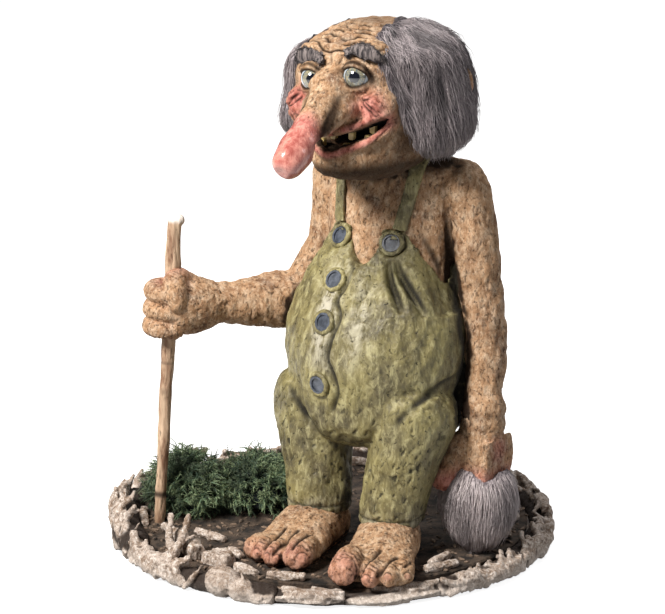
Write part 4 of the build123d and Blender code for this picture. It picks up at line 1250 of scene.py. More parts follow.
class MakeHead(bpy.types.Operator):
    """Makes the wrinkled head with its long nose, lids, cheeks, ears and mouth"""

    bl_idname = "troll.make_head"
    bl_label = "Head"

    # The head is so large that its small faces are a little larger than the hands'
    coarser = 1.13
    # Lines on the face's left half, as rows of (across, height) in mm; the right half repeats them
    cheek_lines = (
        ((16.5, 250.9), (23.0, 246.0), (29.0, 242.0), (32.2, 239.2)),
        ((20.8, 250.4), (25.5, 247.0), (29.2, 242.6)),
        ((24.6, 252.2), (29.5, 248.6), (32.2, 244.7)),
        ((27.0, 253.9), (31.0, 250.4), (32.9, 247.0)),
        ((27.6, 255.6), (30.8, 253.2), (32.6, 250.2)),
        ((29.5, 258.0), (32.5, 255.5), (35.0, 251.0)),
    )
    bag_lines = (
        ((8.5, 256.5), (14.5, 253.6), (20.5, 254.2), (25.0, 257.2)),
        ((10.5, 253.6), (16.0, 250.9), (22.0, 252.0), (26.5, 255.4)),
    )
    mouth_folds = (
        ((30.3, 239.5), (29.2, 235.4), (26.2, 230.7), (21.8, 225.1), (18.8, 220.1)),
        ((33.0, 240.0), (31.4, 234.0), (28.1, 227.6), (24.0, 221.5)),
    )
    wing_lines = (((14.6, 251.0), (17.4, 247.0), (16.8, 242.6), (13.4, 240.0), (10.5, 237.0)),)
    temple_lines = (((27.0, 262.0), (32.0, 264.0), (36.0, 262.0)),)
    # Pores on the cheek beside the wing of the nose
    pores = ((13.0, 238.6), (15.0, 239.8), (17.4, 240.6), (11.4, 236.8))
    # The frown between the brows, which has its own line on each side
    frown_lines = (
        ((-4.4, 274.0), (-3.2, 271.6), (-1.6, 268.0)),
        ((4.6, 274.0), (3.6, 271.2), (2.4, 267.4)),
    )
    # The nose's middle line from its root to near its tip, as (forward, height) in mm
    nose_root = (66.0, 252.0)
    nose_tip = (112.5, 220.0)
    # How much longer the nose gets beyond its root, as a share of that line
    nose_stretch = 0.07
    # Along the nose, how much of its thickness it keeps
    slim_shares = ((0.0, 1.0), (0.1, 0.72), (0.28, 0.64), (0.55, 0.74), (0.8, 0.84), (1.0, 0.9))
    # How far forward the face reaches behind the nose, in mm
    nose_base = 79.0
    # The mouth's opening and its two lips, from the middle to the left corner
    upper_edge = (
        (0.0, 230.6), (6.1, 232.0), (12.0, 234.0),
        (17.4, 236.6), (23.5, 239.8), (29.6, 242.6),
    )
    lower_edge = (
        (0.0, 222.8), (9.3, 226.0), (17.0, 229.6),
        (21.9, 232.6), (26.5, 236.6), (30.4, 240.6),
    )

    def execute(self, context):
        grid = sizes().face_grid / MM * self.coarser
        self.tree = tree_of(solid_mesh("head"))
        nodes = ("head", "left_ear", "right_ear")
        clay = Clay(fused("head", nodes, grid, 7, self.extra_clay, reshape=self.slim_nose))
        clay.rough_up(9.0, 0.7, seed=23.0)
        self.colour(clay)
        self.wrinkle(clay)
        matt = 1 - clay.paint["gloss"] * 0.9
        clay.rough_up(3.4, 0.4, seed=29.0, where=matt)
        clay.rough_up(1.7, 0.2, seed=31.0, how="ridged", where=matt)
        clay.pit(1.7, 0.25, seed=37.0, limit=0.4, where=matt, wash=0.6)
        clay.dig(self.mouth_outline(), 5.5, self.nose_base, dark=1.0)
        clay.settle_wash_and_shade(2.8, 22.0, 0.95)
        clay.finished("head_skin", skin(), "skin", *nodes)
        return {"FINISHED"}

    def mouth_outline(self):
        """The mouth's opening, all the way round."""
        left = [*self.upper_edge, *self.lower_edge[::-1]]
        return left + sided(left[::-1], -1)[1:-1]

    def slim_nose(self, form):
        """Draws the nose slim and long, round the line through its middle."""
        root, tip = spot(0, *self.nose_root), spot(0, *self.nose_tip)
        run = tip - root
        places = np.array([list(vert.co) for vert in form.verts]) / MM
        share = ((places - root) @ run) / (run @ run)
        middle = root + np.outer(np.clip(share, 0, 1), run)
        away = places - middle
        near = ramp(np.linalg.norm(away, axis=1), 17, -2.5)
        slim = 1 - np.interp(share, *zip(*self.slim_shares))
        places = middle + away * (1 - slim * near)[:, None]
        places += np.outer(np.clip(share - 0.3, 0, 0.7) * self.nose_stretch, run)
        for vert, place in zip(form.verts, places):
            vert.co = place * MM

    def extra_clay(self, form):
        """What the solid head lacks: lids, the wings of the nose, cheeks and lips."""
        for side in (1, -1):
            self.add_lids(form, side)
            self.add_nose_wing(form, side)
            self.add_cheek(form, side)
        self.add_lip(form, self.upper_edge, 2.0, (2.2, 2.3, 2.1, 1.7), 0.2)
        self.add_lip(form, self.lower_edge, -2.4, (3.0, 2.9, 2.6, 2.0), 0.4)

    @staticmethod
    def lid_line(side, rise, gap):
        """An arc round the glass eye: its middle is rise degrees up, and gap off the glass."""
        low, high = box_of("left_glass_eye" if side == 1 else "right_glass_eye")
        reach = (high[2] - low[2]) / 2 + gap
        points = []
        for turn in (-88, -60, -30, 0, 30, 60, 88):
            lift = rise * math.cos(math.radians(turn)) ** 0.7 - 7 * turn / 90
            points.append((low + high) / 2 + toward((turn + 12) * side, lift) * reach)
        return np.array(points)

    def add_lids(self, form, side):
        """Rolls of clay round the eye: the heavy upper lid, the lower lid and the bag below."""
        swell = (0.6, 0.9, 1.0, 1.0, 1.0, 0.9, 0.6)
        # Each row: height of the roll's middle in degrees, distance from the glass, thickness
        rolls = ((74, 0.2, 2.4), (53, 0.5, 1.5), (-46, 0.4, 1.3), (-66, 0.8, 1.9))
        for rise, gap, thickness in rolls:
            points = self.lid_line(side, rise, gap)
            add_roll(form, points, [thickness * share for share in swell])

    def add_nose_wing(self, form, side):
        """The broad wing and the soft flank that run from it along the slim nose."""
        add_bead(form, spot(side * 10.0, 66.5, 245.6), (7.0, 8.6, 6.8))
        add_roll(form, [spot(side * 8.5, 68, 246), spot(side * 5.0, 82, 237)], (6.8, 5.0))

    def add_cheek(self, form, side):
        """The pouch below the eye, and the fold that runs from it round the mouth."""
        pouch = ((20, 251.5), (26, 249.0), (31, 244.5))
        fold = ((32.2, 241.5), (31.4, 237.0), (28.2, 231.5), (24.0, 226.5))
        rolls = ((pouch, -1.4, (2.6, 3.2, 2.6)), (fold, -0.6, (1.6, 2.0, 2.0, 1.4)))
        for rows, lift, radii in rolls:
            points = [seen_from_front(self.tree, *place, lift) for place in sided(rows, side)]
            add_roll(form, points, radii)

    def add_lip(self, form, edge, offset, radii, lift):
        """A lip: a roll beside the mouth's edge, thickest in the middle."""
        half = [(across, height + offset) for across, height in edge]
        rows = sided(half[:0:-1], -1) + half
        points = [seen_from_front(self.tree, *place, lift, self.nose_base) for place in rows]
        add_roll(form, points, [*radii[::-1], *radii[1:]])

    def colour(self, clay):
        """Red cheeks, pink lips, the glossy red end of the nose, redder darker ears, and painted
        shade under the hair, under the chin, on the jaw and along the nose.
        """
        forward = FIGURE_Y - clay.points[:, 1]
        height = clay.points[:, 2] - GROUND_Z
        clay.brush(ramp(forward, 82, 12), blush=1.0)
        clay.brush(ramp(forward, 88, 14), gloss=1.0)
        # Painted shade at the top of the head, under the hair
        clay.brush(ramp(height, 280, 6), wash=0.55)
        # Painted shade under the chin
        chin = ramp(height, 228, -14) * np.clip(0.4 - clay.normals[:, 2], 0, 1)
        clay.brush(chin * ramp(forward, 80, -3), wash=0.85)
        for side, node in ((1, "left_ear"), (-1, "right_ear")):
            low, high = box_of(node)
            clay.dab((low + high) / 2, 12.0, blush=0.7, wash=0.45)
            # Painted shade on the side of the jaw
            clay.dab(spot(side * 36, 46, 226), 15.0, wash=0.75)
            # Painted shade beside the root of the nose and down along its sides
            clay.dab(spot(side * 10.5, 69, 250), 8.0, wash=0.6)
            flank = ((7.0, 69, 255), (8.5, 75, 248), (9.0, 84, 239), (9.5, 94, 231))
            clay.stroke(spots(flank, side), 9.0, 0.0, 0.5, wash=1.0)
            # More painted shade low on the jaw
            clay.dab(spot(side * 28, 60, 222), 12.0, wash=0.6)
        for side in (1, -1):
            clay.dab(seen_from_front(self.tree, side * 23, 247), 11.0, 0.6, blush=0.95)
            clay.dab(seen_from_front(self.tree, side * 29, 240), 8.0, blush=0.8)
            clay.dab(seen_from_front(self.tree, side * 16, 254), 5.0, blush=0.55)
        for edge, offset in ((self.upper_edge, 1.6), (self.lower_edge, -2.4)):
            for side in (1, -1):
                lip = [(across, height + offset) for across, height in sided(edge, side)]
                clay.stroke(clay.line(lip, behind=self.nose_base), 6.0, 0.0, 0, blush=0.85)

    def wrinkle(self, clay):
        """The dark lines of the face: lids, bags, folds and the wrinkles of the brow, with painted
        shade in the eye corners and beside the nose.
        """
        # Each row: height in degrees of a dark edge, its distance from the glass and its wash
        edges = ((42, 0.6, 1.0), (-37, 0.5, 1.0), (64, 1.6, 1.0), (-57, 1.2, 0.8))
        # Each row: lines, their width and depth in mm, how they fade and their wash
        folds = (
            (self.cheek_lines, 1.8, 1.0, 0.3, 1.0),
            (self.bag_lines, 1.9, 1.0, 0.3, 1.0),
            (self.mouth_folds, 2.2, 1.3, 0.4, 1.0),
            (self.wing_lines, 2.0, 1.2, 0.3, 1.0),
            (self.temple_lines, 1.6, 0.7, 0.4, 0.8),
        )
        for side in (1, -1):
            for rise, gap, wash in edges:
                clay.stroke(self.lid_line(side, rise, gap), 3.2, 0.0, 0, wash=wash)
            # Painted shade in the corners of each eye and beside the nose
            middle_line = self.lid_line(side, 0, 0.8)
            clay.dab(middle_line[-1], 4.0, wash=1.0)
            clay.dab(middle_line[0], 4.6, wash=1.0)
            clay.dab(spot(side * 12.0, 64, 250.5), 7.5, wash=0.42)
            clay.dab(spot(side * 9.0, 76, 241.0), 7.0, wash=0.38)
            for lines, width, depth, fade, wash in folds:
                for rows in lines:
                    line = clay.line(sided(rows, side))
                    clay.stroke(line, width, depth, fade, wash=wash)
            for place in sided(self.pores, side):
                clay.dab(seen_from_front(self.tree, *place), 1.1, -0.3, wash=1.0)
        for rows in self.frown_lines:
            clay.stroke(clay.line(rows), 2.0, 1.3, 0.3, wash=1.0)
        for line, rise in enumerate((31, 37, 43, 49.5, 56, 63)):
            spread = 40 + 3 * line
            clay.stroke(self.round_the_skull(rise, spread), 1.9, 1.3, 0.25, wash=1.0)
            clay.stroke(self.round_the_skull(rise + 3, spread), 2.6, -0.8, 0.25)

    def round_the_skull(self, rise, spread):
        """A wavy wrinkle across the forehead, rise degrees up from the middle of the head."""
        points = []
        for turn in np.linspace(-spread, spread, 19):
            wave = 1.7 * math.sin(turn * 0.16 + rise) + 1.1 * math.sin(turn * 0.31 + rise * 2.3)
            away = toward(turn, rise + wave)
            start = Vector((spot(*HEAD_MIDDLE) + away * 90) * MM)
            points.append(np.array(self.tree.ray_cast(start, Vector(-away))[0]) / MM)
        return np.array(points)


class MakeEyes(bpy.types.Operator):
    """Makes the glass eyes: white, iris, pupil and a clear wet shine"""

    bl_idname = "troll.make_eyes"
    bl_label = "Glass eyes"

    # Where the eyes look, in degrees
    gaze_azimuth = 21.0
    gaze_elevation = 6.0
    # How far from the gaze, in degrees, the rings of the iris are counted as 1
    ring_degrees = 60.0

    def execute(self, context):
        finish = glass_iris(colors())
        gaze = toward(self.gaze_azimuth, self.gaze_elevation)
        for node in ("left_glass_eye", "right_glass_eye"):
            low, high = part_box(node)
            centre = (Vector(low) + Vector(high)) / 2
            radius = (high[2] - low[2]) / 2
            place = Matrix.Translation(centre)
            form = bmesh.new()
            bmesh.ops.create_icosphere(form, subdivisions=5, radius=radius, matrix=place)
            mesh = mesh_from(form, node + "_ball")
            ring = mesh.attributes.new("ring", "FLOAT", "POINT")
            for index, vert in enumerate(mesh.vertices):
                turn = math.acos(max(-1, min(1, unit(list(vert.co - centre)) @ gaze)))
                ring.data[index].value = math.degrees(turn) / self.ring_degrees
            piece_from(mesh, node + "_ball", finish, (node,))
        return {"FINISHED"}


class MakeTeeth(bpy.types.Operator):
    """Gives the teeth their yellow enamel"""

    bl_idname = "troll.make_teeth"
    bl_label = "Teeth"

    def execute(self, context):
        tooth = colors().tooth
        stain = tuple(part * 0.6 for part in tooth)
        finish = plain_finish("old_teeth", stain, tooth, 0.003, 0.3)
        dress(("upper_teeth", "lower_teeth"), finish)
        return {"FINISHED"}


class Fur:
    """Strands combed over a form: each follows the surface towards where its hair falls."""

    def __init__(self, mesh, seed):
        self.random = np.random.default_rng(seed)
        self.tree = tree_of(mesh)
        mesh.calc_loop_triangles()
        self.corners = points_of(mesh)[values_of(mesh.loop_triangles, "vertices", 3, np.int32)]
        first, second, third = self.corners[:, 0], self.corners[:, 1], self.corners[:, 2]
        cross = np.cross(second - first, third - first)
        self.area = np.linalg.norm(cross, axis=1)
        self.normals = cross / np.maximum(self.area, 1e-9)[:, None]

    def roots(self, count, kept):
        """Random places on the form where kept(places, normals) is true."""
        middles = self.corners.mean(axis=1)
        weight = self.area * kept(middles, self.normals)
        picked = self.random.choice(len(weight), count, p=weight / weight.sum())
        shares = self.random.dirichlet((1, 1, 1), count)
        return (self.corners[picked] * shares[:, :, None]).sum(axis=1)

    def comb(self, root, flow, length, lift, steps, loose, sway):
        """One strand's points: it hugs the form, then its end stands off by lift."""
        # How deep its root sits, how far it lies off the form, and the share that lies close
        sunk, clear, held = 0.4, 0.15, 0.7
        place = np.array(root, float)
        points = []
        stray = unit(self.random.normal(size=3)) * sway
        for index in range(steps + 1):
            share = index / steps
            found = self.tree.find_nearest(Vector(place * MM))
            near, normal = np.array(found[0]), np.array(found[1])
            if index:
                settled = near / MM + normal * (clear + lift * share + loose * share**2)
                hold = 1.0 if share < held else 0.35
                place = place * (1 - hold) + settled * hold
            else:
                place = near / MM - normal * sunk
            points.append(place.copy())
            heading = unit(flow(place) + stray)
            follow = 1.0 if share < held else 0.3
            heading = unit(heading - normal * (heading @ normal) * follow)
            place = place + heading * (length / steps)
        return points


class MakeHair(bpy.types.Operator):
    """Makes the combed grey fur of the head: a dense bed and thousands of strands"""

    bl_idname = "troll.make_hair"
    bl_label = "Hair"

    # The fur's front edge on the left, as across, forward and height in mm; the right follows it
    temple_line = (
        (13.5, 33, 283),
        (19.5, 47, 278),
        (25.5, 53, 266),
        (29.5, 52, 257),
        (34.0, 50, 247),
        (37.5, 46, 235),
        (43.0, 42, 226),
    )
    # Below this height, in mm over the ground, the bed of fur is drawn up under the strands
    hair_end = 234.0

    def execute(self, context):
        nodes = ("back_hair", "left_tress", "right_tress")
        clay = Clay(fused("hair_bed", nodes, 1.5, 6, self.front_edge))
        clay.points -= clay.normals * 1.3
        short = np.clip(GROUND_Z + self.hair_end - clay.points[:, 2], 0, None)
        clay.points[:, 2] += short * 0.32
        clay.rough_up(5.0, 1.2, UP, 4.0, seed=41.0)
        root, tip, shadow = colors().hair_root, colors().hair_tip, colors().hair_dark
        # The bed goes from the hair's shadow tone to its grey: painted shade deep under the
        # strands
        bed = clay.finished("hair_bed", fur_bed("hair_bed", shadow, root), "hair", *nodes)
        finish = grey_fur("grey_hair", root, tip, shadow)
        for seed, node in enumerate(("left_tress", "right_tress", "back_hair")):
            self.cover(Fur(bed.data, 50 + seed), node, finish)
        return {"FINISHED"}

    def front_edge(self, form):
        """Fur that comes forward over the temple and the cheek."""
        near, far = spots(self.temple_line), spots(self.temple_line[:-1], -1)
        add_roll(form, near, (4.8, 6.0, 5.6, 5.0, 4.6, 4.4))
        add_roll(form, near + (7, 13, 1), (5.0, 6.5, 6.8, 6.8, 6.5, 6.0))
        add_roll(form, far + (-3, 8, 0), (3.0, 3.6, 4.0, 4.0, 3.6))

    def cover(self, fur, node, finish):
        """Strands over one piece of hair, combed from the crown down to its own tip."""
        low, high = box_of(node)
        low, high = low - (6.0, 16.0, 2.0), high + (6.0, 2.0, 4.0)
        head_middle = spot(*HEAD_MIDDLE)
        tip = np.array(((low[0] + high[0]) / 2, (low[1] + high[1]) / 2 + 22.0, low[2] - 34.0))
        crown = head_middle + np.array((0, 0, 44.0))

        def kept(places, normals):
            inside = ((places > low - 1.5) & (places < high + 1.5)).all(axis=1)
            outward = ((places - head_middle) * normals).sum(axis=1) > 0
            return inside & outward & (places[:, 2] > low[2] + 3.0)

        def flow(place):
            fall = unit(tip - place)
            parting = unit((place - crown) * np.array((1.0, 0.6, 0.15)))
            near_crown = ramp(place[2], head_middle[2] + 18, 24)
            return fall * (1 - near_crown) + parting * near_crown

        strands = []
        for root in fur.roots(sizes().hair_count, kept):
            length = fur.random.uniform(16, 36)
            loose = fur.random.uniform(0, 5.0) if fur.random.random() < 0.1 else 0.0
            lift = fur.random.uniform(0.1, 1.6)
            points = fur.comb(root, flow, length, lift, 7, loose, 0.26)
            shade = fur.random.beta(2.2, 2.0)
            strands.append((points, sizes().strand_radius / MM, shade))
        strand_piece(node + "_strands", strands, finish)


class MakeBrows(bpy.types.Operator):
    """Makes the two dark fur eyebrows"""

    bl_idname = "troll.make_brows"
    bl_label = "Eyebrows"

    # Strands in each eyebrow, and their radius in mm
    strand_count = 430
    strand_radius = 0.13

    def execute(self, context):
        root_color, tip_color = colors().brow_root, colors().brow_tip
        finish = grey_fur("brow_fur", root_color, tip_color, colors().pupil)
        bed_finish = fur_bed("brow_bed", root_color, tip_color)
        for side, node in ((1, "left_eyebrow"), (-1, "right_eyebrow")):
            clay = Clay(fused(node + "_bed", (node,), 0.7, 3))
            clay.points -= clay.normals * 3.0
            bed = clay.finished(node + "_bed", bed_finish, "brow_fur", node)
            fur = Fur(bed.data, 60 + side)
            middle = fur.corners.mean(axis=(0, 1))

            def flow(place):
                spread = (place[2] - middle[2]) * 0.16
                return np.array((side * 1.0, -0.25, 0.12 + spread))

            strands = []
            for root in fur.roots(self.strand_count, lambda places, normals: normals[:, 1] < 0.3):
                lift = fur.random.uniform(0.1, 2.0)
                points = fur.comb(root, flow, fur.random.uniform(4, 9), lift, 5, 1.0, 0.75)
                strands.append((points, self.strand_radius, fur.random.beta(1.6, 2.4)))
            strand_piece(node + "_strands", strands, finish)
        return {"FINISHED"}


# Hands, feet and tail


def staff_line():
    """The staff's foot, direction and length, read from its CAD node, in mm."""
    points = points_of(solid_mesh("walking_staff"))
    middle = points.mean(axis=0)
    axes = np.linalg.eigh(np.cov((points - middle).T))[1]
    along = axes[:, 2] * np.sign(axes[2, 2])
    reach = (points - middle) @ along
    return middle + along * reach.min(), along, reach.max() - reach.min()


class MakeHands(bpy.types.Operator):
    """Makes the fist round the staff and the hand that holds the tail"""

    bl_idname = "troll.make_hands"
    bl_label = "Hands"

    # The radius of the fist's bore, wider than the staff that slides in it, in mm
    bore_radius = 4.45
    # From here outward the left hand is pressed in, so that it stays close to the leg
    squeeze_start = 69.0

    def execute(self, context):
        grid = sizes().face_grid / MM
        for node in ("right_hand", "left_hand"):
            clay = Clay(fused(node + "_skin", (node,), grid, 6))
            if node == "left_hand":
                edge = FIGURE_X + self.squeeze_start
                beyond = np.clip(clay.points[:, 0] - edge, 0, None)
                clay.points[:, 0] -= beyond**2 / (beyond + 5)
            clay.rough_up(5.0, 0.5, seed=43.0)
            self.colour(clay, node)
            clay.rough_up(2.4, 0.36, seed=47.0, how="ridged")
            clay.pit(1.7, 0.3, seed=49.0, limit=0.38, wash=0.6)
            if node == "right_hand":
                clay.clear_of(*staff_line()[:2], self.bore_radius)
            clay.settle_wash_and_shade(2.4)
            clay.finished(node + "_skin", skin(), "skin", node)
        return {"FINISHED"}

    def colour(self, clay, node):
        """Redder knuckles and pink fingertips."""
        if node == "right_hand":
            gap = round_line(clay.points, *staff_line()[:2])[2]
            clay.brush(np.exp(-((gap / 13.0) ** 2)), blush=0.6)
        else:
            low = clay.points[:, 2].min()
            clay.brush(ramp(clay.points[:, 2], low + 22, -14), blush=0.7)
            clay.dab(spot(72, 12, 58), 10.0, blush=0.6)


class MakeFeet(bpy.types.Operator):
    """Makes the bare feet with pink toes and nails"""

    bl_idname = "troll.make_feet"
    bl_label = "Feet"

    # Each toe's nail: across, forward and height of its middle, and its half width, in mm
    nails = {
        "left_foot": (
            (34.9, 103.7, 14.4, 4.6),
            (45.2, 102.0, 6.6, 3.0),
            (54.1, 95.0, 6.4, 3.0),
            (62.0, 86.0, 6.4, 2.6),
        ),
        "right_foot": (
            (5.7, 102.0, 9.0, 4.6),
            (-9.0, 103.5, 7.0, 3.0),
            (-16.5, 104.5, 7.0, 2.8),
            (-24.7, 102.5, 8.3, 2.4),
        ),
    }
    # How much of that half width the nail keeps inside its groove
    nail_share = 0.8
    # The feet's small faces are a little larger than the hands'
    coarser = 1.15

    def execute(self, context):
        grid = sizes().face_grid / MM * self.coarser
        for node, rows in self.nails.items():
            clay = Clay(fused(node + "_skin", (node,), grid, 5))
            clay.rough_up(6.0, 0.7, seed=53.0)
            forward = FIGURE_Y - clay.points[:, 1]
            clay.brush(ramp(forward, 84, 16), blush=0.5)
            self.part_toes(clay, node, rows)
            for across, ahead, height, half in rows:
                self.add_nail(clay, spot(across, ahead, height), half)
            clay.rough_up(2.8, 0.45, seed=57.0, how="ridged")
            clay.pit(2.0, 0.4, seed=59.0, limit=0.36, where=1 - clay.paint["nail"], wash=0.7)
            clay.settle_wash_and_shade(2.8, 20.0, 1.0)
            clay.finished(node + "_skin", skin(), "skin", node)
        return {"FINISHED"}

    @staticmethod
    def part_toes(clay, node, rows):
        """Deep dark grooves between the toes, and wrinkles across them."""
        tree = tree_of(solid_mesh(node))

        def seen_from_above(places):
            starts = [Vector(spot(*place, 60) * MM) for place in places]
            hits = [tree.ray_cast(start, Vector((0, 0, -1)))[0] for start in starts]
            return np.array([np.array(hit) / MM for hit in hits if hit is not None])

        for one, other in zip(rows, rows[1:]):
            between = (one[0] + other[0]) / 2
            groove = seen_from_above([(between, one[1] - back) for back in (24, 18, 12, 6, 1)])
            clay.stroke(groove, 3.0, 1.7, 0.0, wash=1.0)
        for across, ahead, height, half in rows:
            for back in (5.5, 8.5, 12.0, 16.0):
                crease = [(across + share * half, ahead - back) for share in (-1.0, 0.0, 1.0)]
                crease = seen_from_above(crease)
                if len(crease) > 1:
                    clay.stroke(crease, 1.7, 0.6, 0.3, wash=0.8)

    def add_nail(self, clay, place, half):
        """A flat pink nail with a dark groove round it."""
        nearest = np.argmin(np.linalg.norm(clay.points - place, axis=1))
        middle = clay.points[nearest]
        half *= self.nail_share
        gap = np.linalg.norm(clay.points - middle, axis=1)
        above = np.clip((clay.points[:, 2] - middle[2]) / half + 0.5, 0.15, 1)
        groove = np.exp(-(((gap - half * 1.08) / 0.6) ** 2)) * above
        clay.points -= clay.normals * (groove * 0.6)[:, None]
        clay.brush(groove, wash=0.75)
        clay.brush(ramp(gap, half, -0.6), nail=0.5, gloss=0.3)


class MakeTail(bpy.types.Operator):
    """Makes the bare tail and the grey fur tuft at its end"""

    bl_idname = "troll.make_tail"
    bl_label = "Tail"

    # Strands in the tuft, and their radius in mm
    strand_count = 3900
    strand_radius = 0.18

    def execute(self, context):
        clay = Clay(fused("tail_skin", ("tail",), sizes().skin_grid / MM, 6))
        clay.rough_up(5.0, 0.8, seed=61.0)
        clay.rough_up(2.6, 0.4, seed=63.0, how="ridged")
        clay.settle_wash_and_shade(2.4)
        clay.finished("tail_skin", skin(), "skin", "tail")
        self.make_tuft()
        return {"FINISHED"}

    def make_tuft(self):
        """The tuft: a bed of fur drawn in at its foot, under strands that fall to a point."""
        clay = Clay(fused("tuft_bed", ("tail_tuft",), 1.2, 5))
        clay.points -= clay.normals * 1.2
        low, high = clay.points.min(axis=0), clay.points.max(axis=0)
        share = (clay.points[:, 2] - low[2]) / (high[2] - low[2])
        middle = (low + high)[:2] / 2
        wide = (0.86 + 0.2 * share)[:, None]
        clay.points[:, :2] = middle + (clay.points[:, :2] - middle) * wide
        clay.points[:, 2] += share * 4.5
        clay.rough_up(5.0, 0.8, UP, 4.0, seed=67.0)
        # The tuft's darker grey is its shadow: painted shade on its bed and at the roots of its
        # strands
        grey, light, shadow = colors().hair_tip, colors().tuft_light, colors().hair_root
        bed = clay.finished("tuft_bed", fur_bed("tuft_bed", shadow, grey), "hair", "tail_tuft")
        fur = Fur(bed.data, 70)
        low, high = clay.points.min(axis=0), clay.points.max(axis=0)
        middle = (low + high) / 2

        def flow(place):
            out = (place - middle) * np.array((1, 1, 0))
            falling = ramp(place[2], low[2], high[2] - low[2])
            return np.array((0, 0, -1.0)) + out / 22 * (falling * 1.3 - 0.55)

        strands = []
        for root in fur.roots(self.strand_count, lambda places, normals: normals[:, 2] > -0.9):
            length = fur.random.uniform(12, 28)
            loose = fur.random.uniform(0, 4) if fur.random.random() < 0.3 else 0.5
            points = fur.comb(root, flow, length, fur.random.uniform(0.2, 2.4), 6, loose, 0.22)
            strands.append((points, self.strand_radius, fur.random.beta(2.6, 1.8)))
        strand_piece("tuft_strands", strands, grey_fur("tuft_fur", grey, light, shadow))


# Base


def round_base(bearing, radius, height):
    """A place in mm by its bearing round the base, distance from the middle and height."""
    turn = math.radians(bearing)
    return np.array((radius * math.cos(turn), radius * math.sin(turn), height))


def add_plank(form, points, widths, thickness, face, chance):
    """A length of wood: uneven sections along a line, flat ones where it is split bark."""
    corners = ((-1, -0.4), (-0.5, -1), (0.5, -0.9), (1, -0.3), (0.9, 0.5), (0.3, 1), (-0.5, 0.9))
    line = curve_through(points, 12)
    along = np.linspace(0, 1, len(line))
    widths = np.interp(along, np.linspace(0, 1, len(widths)), widths)
    depths = np.interp(along, np.linspace(0, 1, len(thickness)), thickness)
    rings = []
    for index, (centre, width, depth) in enumerate(zip(line, widths, depths)):
        ahead = unit(line[min(index + 1, len(line) - 1)] - line[max(index - 1, 0)])
        side = unit(np.cross(ahead, face))
        out = np.cross(side, ahead)
        ring = []
        for across, deep in corners:
            uneven = chance.uniform(0.75, 1.2)
            place = centre + (side * across * width + out * deep * depth) * (uneven / 2)
            ring.append(form.verts.new((place * MM).tolist()))
        rings.append(ring)
    form.faces.new(rings[0][::-1])
    form.faces.new(rings[-1])
    for lower, upper in zip(rings, rings[1:]):
        for step in range(len(corners)):
            after = (step + 1) % len(corners)
            form.faces.new((lower[step], lower[after], upper[after], upper[step]))


